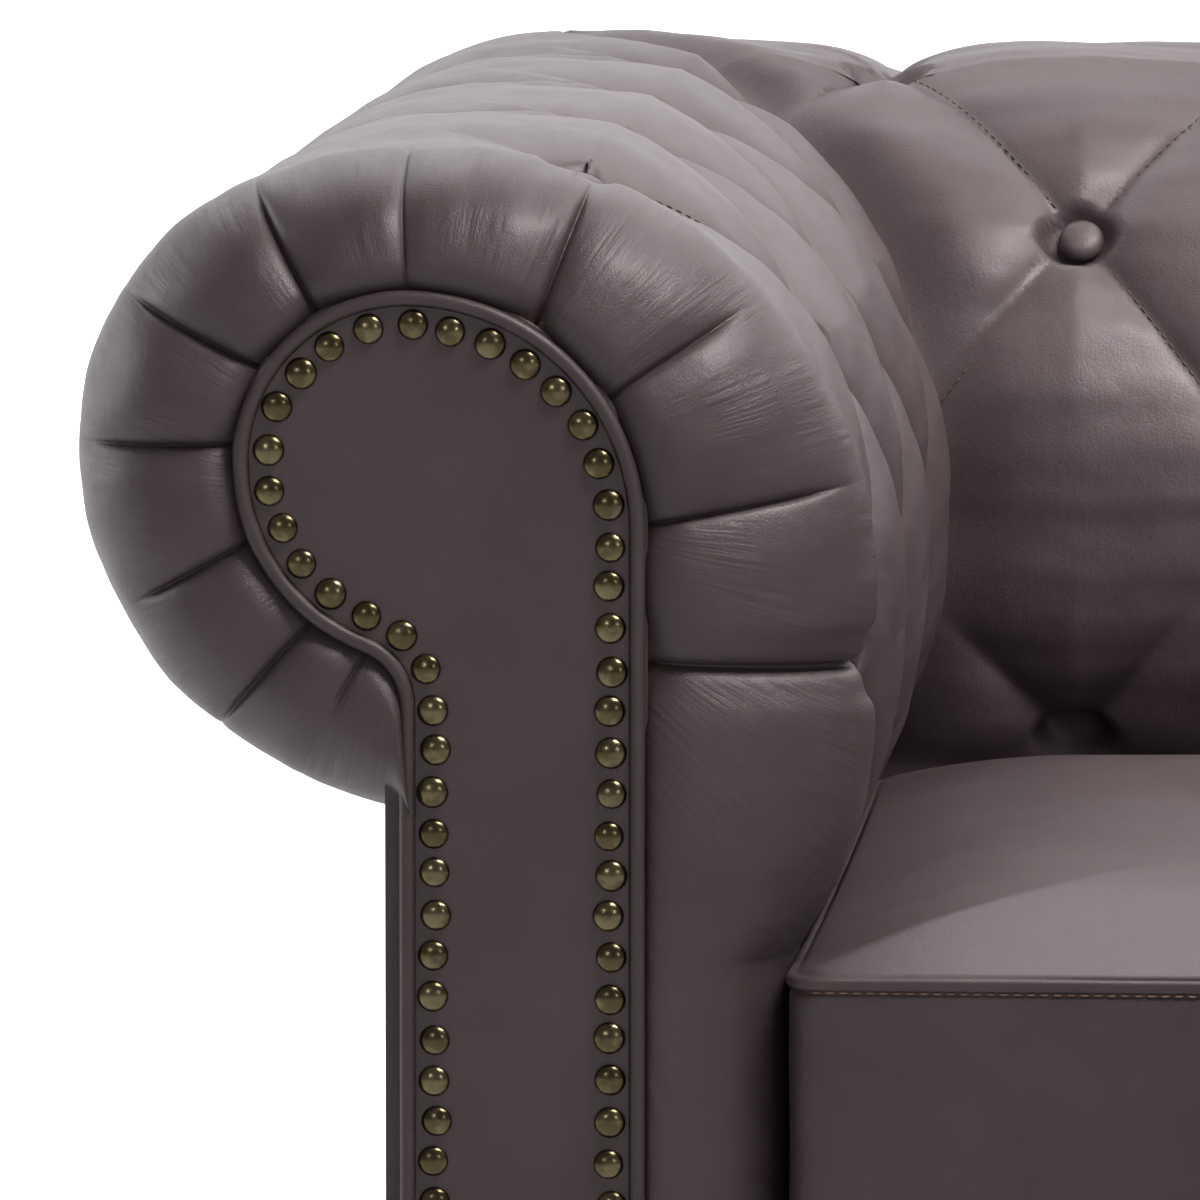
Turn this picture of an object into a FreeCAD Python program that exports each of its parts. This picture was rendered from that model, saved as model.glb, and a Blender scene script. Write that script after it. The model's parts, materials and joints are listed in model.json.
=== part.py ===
"""A three-seat chesterfield sofa: scroll arms, diamond-tufted arms and back, loose box seat cushions.

Millimetres. X runs from the arm at the viewer's left to the other arm, Y from front to back, Z up.
The origin is on the floor, under the middle of the sofa's bounding box.
"""

import FreeCAD, Part
import math
import os
import re

from FreeCAD import Vector

DOC = FreeCAD.newDocument("chesterfield_sofa")

SIZES = {
    # Seat
    "cushion_count": 3,
    "cushion_width": 540,
    "cushion_gap": 1,
    "cushion_seam_height": 430,
    "cushion_box": 140,
    "cushion_crown": 27,
    "crown_reach": 165,
    "cushion_edge": 10,
    "cushion_corner": 14,
    "cushion_front": 8,
    "cushion_pull": 4,
    "leather": 1.6,
    "seat_depth": 618.5,
    # Section that the arms and the back share, measured inwards from the outermost point of the roll
    "inner_face": 271.5,
    "roll_radius": 121,
    "roll_height": 630,
    "roll_foot_angle": 268,
    "top_rise": 1,
    "crest_offset": 117,
    "crest_drop": 60,
    "crest_radius": 193,
    "row_low_angle": -6.5,
    "row_step_angle": 37,
    "seam_lap": 4,
    "lap_bulge": 301.5,
    "lap_bulge_rise": 58,
    # Scroll outline that the welt follows
    "scroll_offset": 126,
    "scroll_left_radius": 64.5,
    "scroll_heel_radius": 75,
    "scroll_neck_radius": 25,
    "scroll_drop": 25,
    "welt_diameter": 6,
    "facing_thickness": 4,
    # Roll of padding round the facing
    "front_roll_depth": 55,
    "neck_share_angle": 18,
    # Tufting
    "cushion_tufts": 3,
    "arm_tufts": 3,
    "first_tuft": 90,
    "tuft_depth": 22,
    "seam_depth": 9,
    "tuft_softness": 0.6,
    "button_diameter": 19.5,
    "button_height": 7,
    # Brass nails
    "nail_diameter": 12.4,
    "nail_dome": 3.4,
    "nail_pitch": 16.1,
    "nail_inset": 10.4,
    # Frame
    "base_height": 90,
    "rail_height": 150,
    "rail_thickness": 28,
    "board_thickness": 18,
    "ply_thickness": 12,
    "roll_ply": 12,
    "panel_thickness": 5.7,
    "border_thickness": 25,
    "cross_rail_height": 110,
    "block_depth": 56,
    "block_height": 60,
    "webbing_width": 50,
    "webbing_thickness": 2.5,
    "webbing_count": 12,
    "webbing_lap": 22,
    "dust_cover_thickness": 1.2,
    "clearance": 0.3,
    # Feet
    "foot_diameter": 84,
    "foot_neck_diameter": 56,
    "foot_collar_diameter": 72,
    "foot_collar": 8,
    "glide_diameter": 30,
    "glide_height": 5,
}

# Places that follow from the sizes. X is measured from the middle, Y from the middle, Z from the floor.
PLACES = {
    "half_span": "cushion_count * cushion_width / 2",
    "side_face": "inner_face + cushion_gap",
    "half_width": "half_span + side_face",
    "overall_depth": "seat_depth + side_face",
    "front_face": "-(overall_depth - nail_dome) / 2",
    "rear_face": "front_face + overall_depth",
    "rail_top": "base_height + rail_height",
    "deck_bottom": "rail_top + webbing_thickness + clearance",
    "cushion_bottom": "cushion_seam_height - cushion_box",
    "deck_top": "cushion_bottom - clearance",
    "crest_height": "roll_height - crest_drop",
    "low_row_height": "cushion_seam_height + seam_lap",
    "lap_bulge_height": "low_row_height + lap_bulge_rise",
    "scroll_right_height": "roll_height - scroll_drop",
    "welt_out": "welt_diameter / 2",
    "column_in": "scroll_offset + scroll_left_radius + scroll_drop",
    "frame_out": "scroll_offset - welt_out",
    "frame_in": "column_in + welt_out",
    "rib_in": "frame_in - ply_thickness",
    "panel_out": "frame_out - clearance - panel_thickness",
    "inner_plane": "half_width - frame_in",
    "rib_plane": "half_width - rib_in",
    "outer_plane": "half_width - frame_out",
    "side_rail_plane": "outer_plane - rail_thickness",
    "seat_plane": "half_width - inner_face - clearance",
    "board_rear": "front_face + facing_thickness + board_thickness",
    "border_front": "front_face + cushion_front + clearance",
    "rail_front": "border_front + border_thickness",
    "rail_rear": "rail_front + rail_thickness",
    "ply_front": "rear_face - frame_in",
    "ply_rear": "rear_face - rib_in",
    "back_rail_rear": "ply_rear + rail_thickness",
    "outer_rear": "rear_face - frame_out",
    "base_rail_front": "outer_rear - rail_thickness",
    "back_pad_front": "rear_face - inner_face - clearance",
    "foot_top": "base_height - dust_cover_thickness",
    "button_pitch": "cushion_width / cushion_tufts",
    "arm_button_pitch": "(seat_depth - first_tuft) / arm_tufts",
}

SHEET = DOC.addObject("Spreadsheet::Sheet", "Sizes")
for row, (name, rule) in enumerate({**SIZES, **PLACES}.items(), start=1):
    SHEET.set(f"A{row}", name)
    SHEET.set(f"B{row}", str(rule) if name in SIZES else f"={rule}")
    SHEET.setAlias(f"B{row}", name)
DOC.recompute()


def size(name):
    """A size or a place, read back from the sheet."""
    return float(SHEET.get(name))


def rule(words):
    """An expression that names sizes and places, bound to the sheet."""
    return re.sub(r"[a-z][a-z_]+", lambda found: f"Sizes.{found.group()}", words)


CLEAR = size("clearance")
HALF_SPAN = size("half_span")
HALF_WIDTH = size("half_width")
FRONT = size("front_face")
REAR = size("rear_face")
BASE = size("base_height")
PITCH = size("button_pitch")
ARM_PITCH = size("arm_button_pitch")
COLUMN_OUT = size("scroll_offset")
COLUMN_IN = size("column_in")
FRAME_OUT = size("frame_out")
FRAME_IN = size("frame_in")
WELT_OUT = size("welt_out")
DECK_BOTTOM = size("deck_bottom")
CUSHION_BOTTOM = size("cushion_bottom")
CUSHIONS = int(size("cushion_count"))
NODES = []
ARC_STEPS = 10
FLAT = 1e-8
BUTTON_SIDES = 8
NAIL_SIDES = 6
WELT_SIDES = 8
FOOT_SIDES = 16


def keep(item, label):
    """Names a finished sub-part."""
    item.Label = label
    NODES.append(item)
    return item


def block(label, low, high, final=True):
    """A rectangular piece between two corners, each given as three rules."""
    item = DOC.addObject("Part::Box", label)
    for prop, near, far in zip(("Length", "Width", "Height"), low, high):
        item.setExpression(prop, rule(f"({far}) - ({near})"))
    for axis, near in zip("xyz", low):
        item.setExpression(f"Placement.Base.{axis}", rule(near))
    return keep(item, label) if final else item


def mirrored(source, label):
    """The same piece on the other side of the sofa."""
    item = DOC.addObject("Part::Mirroring", label)
    item.Source = source
    item.Normal = Vector(1, 0, 0)
    return keep(item, label)


def grouped(label, pieces, final=True):
    """Like pieces as one group of solids."""
    item = DOC.addObject("Part::Compound", label)
    item.Links = pieces
    return keep(item, label) if final else item


def feature(label, shape):
    """A piece whose form only Part's own functions make."""
    item = DOC.addObject("Part::Feature", label)
    item.Shape = shape
    item.Placement = FreeCAD.Placement()
    return keep(item, label)


def polar(offset, height, radius, angle):
    """A point of a section, as its distance from the outermost point and its height."""
    turn = math.radians(angle)
    return (offset + radius * math.cos(turn), height + radius * math.sin(turn))


def arc_of(offset, height, radius, start, end):
    """Three points of an arc about a centre, between two angles."""
    return tuple(polar(offset, height, radius, start + (end - start) * share) for share in (0, 0.5, 1))


def arc_point(first, middle, last, share):
    """The point at a share of the way along the arc through three section points."""
    curve = Part.Arc(*(Vector(a, b, 0) for a, b in (first, middle, last)))
    start, end = curve.FirstParameter, curve.LastParameter
    spot = curve.value(start + (end - start) * share)
    return (spot.x, spot.y)


# The scroll outline, which the facing, the welt, the nails and the arm frame all follow

def scroll_stretches(out, foot):
    """The closed scroll outline, moved out by a distance, as lines of two points and arcs of three."""
    centre = COLUMN_OUT
    heel = size("scroll_heel_radius")
    left = size("scroll_left_radius")
    neck = size("scroll_neck_radius")
    right = COLUMN_IN - centre
    high, low = size("roll_height"), size("scroll_right_height")
    heel_centre = centre - left + heel
    neck_centre = centre - neck
    drop = math.sqrt((heel + neck) ** 2 - (heel_centre - neck_centre) ** 2)
    neck_turn = math.degrees(math.atan2(drop, heel_centre - neck_centre))
    neck_height = high - drop
    foot_out = (centre - out, foot)
    foot_in = (COLUMN_IN + out, foot)
    return [
        (foot_out, (centre - out, neck_height)),
        arc_of(neck_centre, neck_height, neck - out, 0, neck_turn),
        arc_of(heel_centre, high, heel + out, 180 + neck_turn, 180),
        arc_of(centre, high, left + out, 180, 90),
        arc_of(centre, low, right + out, 90, 0),
        ((COLUMN_IN + out, low), foot_in),
        (foot_in, foot_out),
    ]


def to_edges(stretches, place):
    """Edges in space from section stretches."""
    edges = []
    for stretch in stretches:
        points = [place(*point) for point in stretch]
        curve = Part.LineSegment(*points) if len(points) == 2 else Part.Arc(*points)
        edges.append(curve.toShape())
    return edges


def scroll_points(out, foot):
    """Points along the scroll outline from its outer foot to its inner foot, moved out by a distance."""
    points = []
    for stretch in scroll_stretches(out, foot)[:6]:
        shares = [0] if len(stretch) == 2 else [step / ARC_STEPS for step in range(ARC_STEPS)]
        points += [stretch[0] if share == 0 else arc_point(*stretch, share) for share in shares]
    return points + [(COLUMN_IN + out, foot)]


def faceted(rings):
    """A closed solid with flat faces between rings of points and across the first and last ring."""
    outlines = [rings[0], rings[-1]]
    for near, far in zip(rings, rings[1:]):
        for index, first in enumerate(near):
            after = (index + 1) % len(near)
            second, third, fourth = near[after], far[after], far[index]
            span, diagonal = second - first, third - first
            facing = span.cross(diagonal)
            if abs(facing.dot(fourth - first)) < FLAT * facing.Length:
                outlines.append([first, second, third, fourth])
            elif diagonal.Length < (fourth - second).Length:
                outlines += [[first, second, third], [first, third, fourth]]
            else:
                outlines += [[first, second, fourth], [second, third, fourth]]
    faces = []
    for outline in outlines:
        corners = [spot for index, spot in enumerate(outline)
                   if (spot - outline[index - 1]).Length > CLEAR / 10]
        if len(corners) > 2:
            faces.append(Part.Face(Part.makePolygon(corners + corners[:1])))
    return Part.makeSolid(Part.makeShell(faces))


def turned(stretches):
    """The same stretches, followed the other way."""
    return [tuple(reversed(stretch)) for stretch in reversed(stretches)]


def arm_place(y):
    """Puts a section point of the left arm at a distance behind its facing."""
    return lambda a, z: Vector(a - HALF_WIDTH, FRONT + y, z)


def back_place(x):
    """Puts a section point of the back at a place across the sofa."""
    return lambda a, z: Vector(x, REAR - a, z)


def sketched_body(label, plane_role, stretches, flat_place):
    """A body with a sketch of section stretches on one of its own planes."""
    body = DOC.addObject("PartDesign::Body", label)
    sketch = body.newObject("Sketcher::SketchObject", label + "_outline")
    plane = next(item for item in body.Origin.OriginFeatures if item.Role == plane_role)
    sketch.AttachmentSupport = [(plane, "")]
    sketch.MapMode = "FlatFace"
    for stretch in stretches:
        points = [flat_place(*point) for point in stretch]
        curve = Part.LineSegment(*points) if len(points) == 2 else Part.Arc(*points)
        sketch.addGeometry(curve, False)
    return body, sketch


def profile_body(label, plane_role, stretches, flat_place, thickness, shift, final=True):
    """A piece padded from a sketch: forwards from its rear face, or sideways from its left face."""
    body, sketch = sketched_body(label, plane_role, stretches, flat_place)
    pad = body.newObject("PartDesign::Pad", label + "_pad")
    pad.Profile = sketch
    pad.setExpression("Length", rule(thickness))
    axis = "y" if plane_role == "XZ_Plane" else "x"
    body.setExpression(f"Placement.Base.{axis}", rule(shift))
    return keep(body, label) if final else body


def arm_flat(a, z):
    """A section point of the left arm on a sketch that faces the front."""
    return Vector(a - HALF_WIDTH, z, 0)


def back_flat(a, z):
    """A section point of the back on a sketch that faces the side."""
    return Vector(REAR - a, z, 0)


def prism(points, low, high):
    """A plain upright solid over a plan of X and Y corners."""
    corners = [Vector(x, y, low) for x, y in points]
    return Part.Face(Part.makePolygon(corners + corners[:1])).extrude(Vector(0, 0, high - low))


def plan(a, y):
    """A plan point from its distances inwards from the arm's outer side and behind its facing."""
    return (a - HALF_WIDTH, FRONT + y)


# The mitre where an arm meets the back runs at 45 degrees through the two rolls' centre lines.
ROLL_END = size("overall_depth") - size("roll_radius")
MITRE_REACH = 500.0
ABOVE_ALL = 2 * size("roll_height")


def arm_mitre():
    """What the back takes from the left arm."""
    centre = size("roll_radius")
    return prism([plan(centre, ROLL_END), plan(centre + MITRE_REACH, ROLL_END - MITRE_REACH),
                  plan(centre + MITRE_REACH, ROLL_END + MITRE_REACH), plan(centre, ROLL_END + MITRE_REACH)],
                 0, ABOVE_ALL)


def back_mitre():
    """What the left arm takes from the back."""
    centre = size("roll_radius")
    return prism([plan(centre, ROLL_END), plan(centre + MITRE_REACH, ROLL_END - MITRE_REACH),
                  plan(centre - MITRE_REACH, ROLL_END - MITRE_REACH), plan(centre - MITRE_REACH, ROLL_END)],
                 0, ABOVE_ALL)


def across(shape):
    """The same shape on the other side of the sofa."""
    return shape.mirror(Vector(0, 0, 0), Vector(1, 0, 0))


ROLL_FOOT = polar(0, size("roll_height"), size("roll_radius"), size("roll_foot_angle"))[1]
RIB_INSET = size("roll_ply") - WELT_OUT + CLEAR


# The padded section that the arms and the back share. Row numbers run up it: 1 is the top row of
# tufts, 0.5 and 0 the two rows below it and -0.5 the row behind the cushions.
ROW_STEP = 0.25
ROLL_ROW = 1.25
SEAT_ROW = -0.5
FADE_ROW = -0.75


def crest_point(v):
    """The crest of the padding at a row number."""
    crest = (size("crest_offset"), size("crest_height"), size("crest_radius"))
    low = size("row_low_angle")
    top = low + 2 * size("row_step_angle")
    seat = (size("inner_face"), size("low_row_height"))
    roll_top = (size("roll_radius"), size("roll_height") + size("roll_radius"))
    if v > 1:
        start = polar(*crest, top)
        middle = ((start[0] + roll_top[0]) / 2, roll_top[1] + size("top_rise"))
        return arc_point(start, middle, roll_top, (v - 1) / (ROLL_ROW - 1))
    if v >= 0:
        return polar(*crest, low + (top - low) * v)
    if v >= SEAT_ROW:
        bulge = (size("lap_bulge"), size("lap_bulge_height"))
        return arc_point(polar(*crest, low), bulge, seat, v / SEAT_ROW)
    row_run = math.radians(size("row_step_angle")) * size("crest_radius")
    return (seat[0], seat[1] - 2 * row_run * (SEAT_ROW - v))


def crest_normal(v):
    """The direction out of the padding at a row number."""
    step = ROW_STEP / 100
    above, below = crest_point(v + step), crest_point(v - step)
    run = math.hypot(above[0] - below[0], above[1] - below[1])
    return ((above[1] - below[1]) / run, (below[0] - above[0]) / run)


def tuft_sink(u, v):
    """How far the leather lies under the crest: deep at each button, less so along the sewn seams."""
    first = abs(math.sin(math.pi * (u + v)))
    second = abs(math.sin(math.pi * (u - v)))
    along, across_seam = max(first, second), min(first, second)
    softness = size("tuft_softness")
    seam = size("tuft_depth") - (size("tuft_depth") - size("seam_depth")) * along ** softness
    fade = 1.0
    if v > 1:
        fade = (ROLL_ROW - v) / (ROLL_ROW - 1)
    if v < SEAT_ROW:
        fade = (v - FADE_ROW) / (SEAT_ROW - FADE_ROW)
    return seam * (1 - across_seam ** softness) * fade


def padded_point(u, v, share=1.0):
    """A point of the tufted surface in the shared section."""
    spot, out = crest_point(v), crest_normal(v)
    sink = tuft_sink(u, v) * share
    return (spot[0] - out[0] * sink, spot[1] - out[1] * sink)


def tufted_ring(u, place, share):
    """One cross-section of the tufted stretch and of the plain padding under it, down to the webbing."""
    rows = round(2 * (ROLL_ROW - SEAT_ROW) / ROW_STEP)
    points = [padded_point(u, ROLL_ROW - index * ROW_STEP / 2, share) for index in range(rows + 1)]
    inner = COLUMN_IN + WELT_OUT + CLEAR
    low = size("scroll_right_height")
    points += [crest_point(FADE_ROW), (size("inner_face"), DECK_BOTTOM), (inner, DECK_BOTTOM), (inner, low)]
    half_step = 90 / (2 * ARC_STEPS)
    radius = inner - COLUMN_OUT
    for step in range(ARC_STEPS):
        reach = radius / math.cos(math.radians(half_step))
        points.append(polar(COLUMN_OUT, low, reach, half_step * (2 * step + 1)))
    points.append((COLUMN_OUT, low + radius))
    return [place(*point) for point in points]


def tufted_stretch(stations, place):
    """The tufted padding through stations: tuft number, place and share of the tufts' depth of each."""
    return faceted([tufted_ring(u, place(spot), share) for u, spot, share in stations])


def roll_wire(place):
    """The plain roll, from its top round its outer side to its foot."""
    gap = WELT_OUT + CLEAR
    outline = scroll_stretches(gap, BASE)
    centre = (size("roll_radius"), size("roll_height"), size("roll_radius"))
    stretches = [arc_of(*centre, 90, 180), arc_of(*centre, 180, size("roll_foot_angle"))]
    foot = stretches[-1][-1]
    corner = (FRAME_OUT - CLEAR, foot[1])
    stretches += [(foot, corner), (corner, outline[1][0])]
    stretches += outline[1:4]
    stretches.append((outline[3][-1], stretches[0][0]))
    return Part.Wire(to_edges(stretches, place))


def front_roll_ring(y, share):
    """One outline of the pleated roll round the facing: at share 0 the welt's, at share 1 the crest's."""
    gap = WELT_OUT + CLEAR
    centre = (size("roll_radius"), size("roll_height"), size("roll_radius"))
    foot_angle = size("roll_foot_angle")
    neck_angle = foot_angle - size("neck_share_angle")
    turns = [foot_angle, neck_angle, 180, 90]
    pairs = [(scroll_points(gap, BASE)[0], (polar(*centre, foot_angle)[0], BASE))]
    inner = scroll_points(gap, BASE)[1:3 * ARC_STEPS + 1]
    for index, spot in enumerate(inner):
        stretch, step = divmod(index, ARC_STEPS)
        turn = turns[stretch] + (turns[stretch + 1] - turns[stretch]) * step / ARC_STEPS
        pairs.append((spot, polar(*centre, turn)))
    right = (COLUMN_OUT, size("scroll_right_height"), COLUMN_IN - COLUMN_OUT + gap)
    low = crest_point(0)[1]
    for index in range(round(2 * (ROLL_ROW - SEAT_ROW) / ROW_STEP) + 1):
        v = ROLL_ROW - index * ROW_STEP / 2
        pairs.append((welt_point(v, right, low), crest_point(v)))
    pairs.append(((right[0] + right[2], BASE), (size("inner_face"), BASE)))
    place = arm_place(y)
    return [place(near[0] + (far[0] - near[0]) * share, near[1] + (far[1] - near[1]) * share)
            for near, far in pairs]


def welt_point(v, right, low):
    """The point of the scroll outline that a row of the front roll starts from."""
    if v >= ROW_STEP:
        return polar(*right, 90 * (v - ROW_STEP) / (ROLL_ROW - ROW_STEP))
    if v >= 0:
        return (right[0] + right[2], low + (right[1] - low) * v / ROW_STEP)
    return (right[0] + right[2], low + (size("low_row_height") - low) * v / SEAT_ROW)


def tuft_spots(count, row, skip_ends):
    """Tuft numbers of a row that holds count pitches."""
    if row == 0.5:
        return [index + 0.5 for index in range(count)]
    return [float(index) for index in range(1 if skip_ends else 0, count)]


def button_seat(u, v, place):
    """Where a button sits and which way it faces."""
    spot, out = crest_point(v), crest_normal(v)
    sink = tuft_sink(u, v)
    seat = place(spot[0] - out[0] * sink, spot[1] - out[1] * sink)
    tip = place(spot[0] - out[0] * (sink - 1), spot[1] - out[1] * (sink - 1))
    return seat, tip - seat


def ring(centre, axis, radius, sides):
    """The corners of a regular polygon about an axis."""
    side = axis.cross(Vector(0, 0.6, 0.8)).normalize()
    other = axis.cross(side).normalize()
    corners = []
    for index in range(sides):
        turn = 2 * math.pi * index / sides
        corners.append(centre + side * (radius * math.cos(turn)) + other * (radius * math.sin(turn)))
    return corners


def domed(centre, axis, radius, height, sides):
    """A low dome with few faces, which a nail head and a covered button share."""
    return faceted([ring(centre, axis, radius, sides), ring(centre + axis * height, axis, radius / 2, sides)])


def arm_pad_shape():
    """The left arm's padding: the roll, the tufted inner side and the roll round the facing."""
    depth = size("front_roll_depth")
    first = size("first_tuft")
    stations = [(0, depth, 0.0)]
    quarter = ARM_PITCH / 4
    for index in range(math.ceil((ROLL_END - first) / quarter)):
        stations.append((index / 4, first + index * quarter, 1.0))
    stations.append(((ROLL_END - first) / ARM_PITCH, ROLL_END, 1.0))
    tufted = tufted_stretch(stations, arm_place)
    roll = Part.Face(roll_wire(arm_place(depth))).extrude(Vector(0, ROLL_END - depth, 0))
    front = faceted([front_roll_ring(depth * share, math.sqrt(max(1 - (1 - share) ** 2, 0.005)))
                     for share in (0, 0.06, 0.2, 0.45, 1)])
    opening = Part.Wire(to_edges(scroll_stretches(WELT_OUT + CLEAR, BASE - 1), arm_place(-1)))
    front = front.cut(Part.Face(opening).extrude(Vector(0, depth + 2, 0)))
    outside = prism([plan(-1, -1), plan(FRAME_OUT, -1), plan(FRAME_OUT, depth), plan(-1, depth)],
                    0, ROLL_FOOT)
    behind = size("rail_front") - FRONT - CLEAR
    rail_room = prism([plan(FRAME_IN, behind), plan(2 * size("inner_face"), behind),
                       plan(2 * size("inner_face"), depth), plan(FRAME_IN, depth)], 0, DECK_BOTTOM)
    front = front.cut([outside, rail_room])
    whole = front.fuse([roll, tufted]).cut(arm_mitre())
    return whole.cut(seat_pockets(arm_buttons()))


def back_pad_shape():
    """The back's padding, mitred to both arms."""
    end = HALF_WIDTH - size("roll_radius")
    first = -end
    stations = [((first + HALF_SPAN) / PITCH, first, 1.0)]
    quarter = PITCH / 4
    steps = math.floor(end / quarter - 1e-6)
    for index in range(-steps, steps + 1):
        spot = index * quarter
        stations.append(((spot + HALF_SPAN) / PITCH, spot, 1.0))
    stations.append(((end + HALF_SPAN) / PITCH, end, 1.0))
    tufted = tufted_stretch(stations, back_place)
    roll = Part.Face(roll_wire(back_place(first))).extrude(Vector(2 * end, 0, 0))
    whole = tufted.fuse(roll).cut([back_mitre(), across(back_mitre())])
    return whole.cut(seat_pockets(back_buttons()))


def arm_buttons():
    """Seat and direction of each button on the left arm."""
    found = []
    for row in (0.0, 0.5, 1.0):
        for u in tuft_spots(int(size("arm_tufts")), row, False):
            found.append(button_seat(u, row, arm_place(size("first_tuft") + u * ARM_PITCH)))
    return found


def back_buttons():
    """Seat and direction of each button on the back."""
    found = []
    count = CUSHIONS * int(size("cushion_tufts"))
    for row in (0.0, 0.5, 1.0):
        for u in tuft_spots(count, row, True):
            found.append(button_seat(u, row, back_place(u * PITCH - HALF_SPAN)))
    return found


def seat_pockets(buttons):
    """The room that the buttons' seats take from the padding."""
    radius = size("button_diameter") / 2 + CLEAR
    reach = size("tuft_depth") + size("button_height")
    return [faceted([ring(spot, axis, radius, BUTTON_SIDES) for spot in (seat, seat + axis * reach)])
            for seat, axis in buttons]


def button_group(buttons):
    """Covered buttons as one group of solids."""
    radius = size("button_diameter") / 2
    return Part.makeCompound([domed(seat, axis, radius, size("button_height"), BUTTON_SIDES)
                              for seat, axis in buttons])


def nail_group():
    """The left arm's brass nails, evenly spaced along the scroll."""
    stretches = scroll_stretches(-size("nail_inset"), BASE + size("nail_inset"))[:6]
    path = Part.Wire(to_edges(stretches, arm_place(0)))
    count = round(path.Length / size("nail_pitch")) + 1
    axis = Vector(0, -1, 0)
    heads = [domed(spot, axis, size("nail_diameter") / 2, size("nail_dome"), NAIL_SIDES)
             for spot in path.discretize(Number=count)]
    return Part.makeCompound(heads)


def welt_shape():
    """The piped welt round the left facing."""
    threads = []
    for side in range(WELT_SIDES):
        turn = 2 * math.pi * side / WELT_SIDES
        place = arm_place(size("facing_thickness") - WELT_OUT + WELT_OUT * math.sin(turn))
        threads.append([place(*point) for point in scroll_points(WELT_OUT * math.cos(turn), BASE)])
    return faceted([list(spots) for spots in zip(*threads)])


def corner_pad_shape():
    """The rounded corner where the left arm's roll turns into the back's."""
    radius = size("roll_radius")
    centre = Vector(radius - HALF_WIDTH, REAR - radius, size("roll_height"))
    slices = []
    for step in range(ARC_STEPS + 1):
        turn = math.radians(90 + 90 * step / ARC_STEPS)
        side = Vector(math.cos(turn), math.sin(turn), 0)
        slices.append([centre + side * out + Vector(0, 0, up)
                       for out, up in (polar(0, 0, radius, -90 + 90 * level / ARC_STEPS)
                                       for level in range(2 * ARC_STEPS + 1))])
    return faceted(slices)


def cushion_ring(centre, ends, height, inset):
    """One level of a cushion: its sides are drawn in between rounded corners."""
    half = (size("cushion_width") - size("cushion_gap")) / 2 - inset
    front, back = ends[0] + inset, ends[1] - inset
    corner, pull = size("cushion_corner"), size("cushion_pull")
    cut_in = corner * (1 - math.sqrt(0.5))
    middle = (front + back) / 2
    long_half = (back - front) / 2
    points = []
    for turn, reach, across_reach in ((0, half, long_half), (90, long_half, half),
                                      (180, half, long_half), (270, long_half, half)):
        side = FreeCAD.Rotation(Vector(0, 0, 1), turn)
        for out, along in ((reach, corner - across_reach), (reach - pull, 0), (reach, across_reach - corner),
                           (reach - cut_in, across_reach - cut_in)):
            points.append(Vector(centre, middle, height) + side.multVec(Vector(out, along, 0)))
    return points


def cushion_shape(centre, inside):
    """A boxed cushion with a crowned top. Inside is how far the form lies within the cover's outer face."""
    ends = (FRONT + size("cushion_front") + inside, FRONT + size("seat_depth") - inside)
    seam = size("cushion_seam_height") - inside
    floor = CUSHION_BOTTOM + inside
    crown, reach = size("cushion_crown"), size("crown_reach")
    edge = size("cushion_edge")
    levels = [(floor, edge / 2), (floor + edge, 0), (seam, 0)]
    for share in (0.08, 0.25, 0.55, 1):
        levels.append((seam + crown * (1 - (1 - share) ** 2), share * reach))
    return faceted([cushion_ring(centre, ends, height, inset + inside) for height, inset in levels])


def foot_shape():
    """A turned bun foot on its own middle line."""
    top, low, collar = size("foot_top"), size("glide_height"), size("foot_collar")
    bun, neck = size("foot_diameter") / 2, size("foot_neck_diameter") / 2
    rim = size("foot_collar_diameter") / 2
    profile = [
        (low, neck),
        (low + collar, (neck + bun) / 2),
        (top / 2 - collar, bun),
        (top / 2 + collar / 2, bun),
        (top - 3 * collar, (neck + bun) / 2),
        (top - 2 * collar, neck),
        (top - 1.2 * collar, neck),
        (top - collar, rim),
        (top, rim),
    ]
    upwards = Vector(0, 0, 1)
    return faceted([ring(upwards * height, upwards, radius, FOOT_SIDES) for height, radius in profile])


def mitred(label, source, tools):
    """A piece cut to the mitre between an arm and the back."""
    tool = DOC.addObject("Part::Feature", label + "_mitre")
    tool.Shape = Part.makeCompound(tools)
    cut = DOC.addObject("Part::Cut", label)
    cut.Base = source
    cut.Tool = tool
    return keep(cut, label)


def roll_board_stretches():
    """The bent plywood that carries the roll, between the frame's outline and its own thickness inside it."""
    outer = scroll_stretches(WELT_OUT, BASE)[1:5]
    inner = turned(scroll_stretches(WELT_OUT - size("roll_ply"), BASE)[1:5])
    return outer + [(outer[-1][-1], inner[0][0])] + inner + [(inner[-1][-1], outer[0][0])]


# Feet: their plan places, as rules
CORNER_X = "(side_rail_plane + rib_plane) / 2"
FRONT_Y = "board_rear + block_depth / 2"
FRONT_MIDDLE_Y = "rail_rear + block_depth / 2"
REAR_Y = "ply_rear + block_depth / 2"
REAR_MIDDLE_Y = "ply_rear - block_depth / 2"
FOOT_SPOTS = {
    "front_left": (f"-({CORNER_X})", FRONT_Y),
    "front_middle": ("0", FRONT_MIDDLE_Y),
    "front_right": (CORNER_X, FRONT_Y),
    "back_left": (f"-({CORNER_X})", REAR_Y),
    "back_middle": ("0", REAR_MIDDLE_Y),
    "back_right": (CORNER_X, REAR_Y),
}

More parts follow.
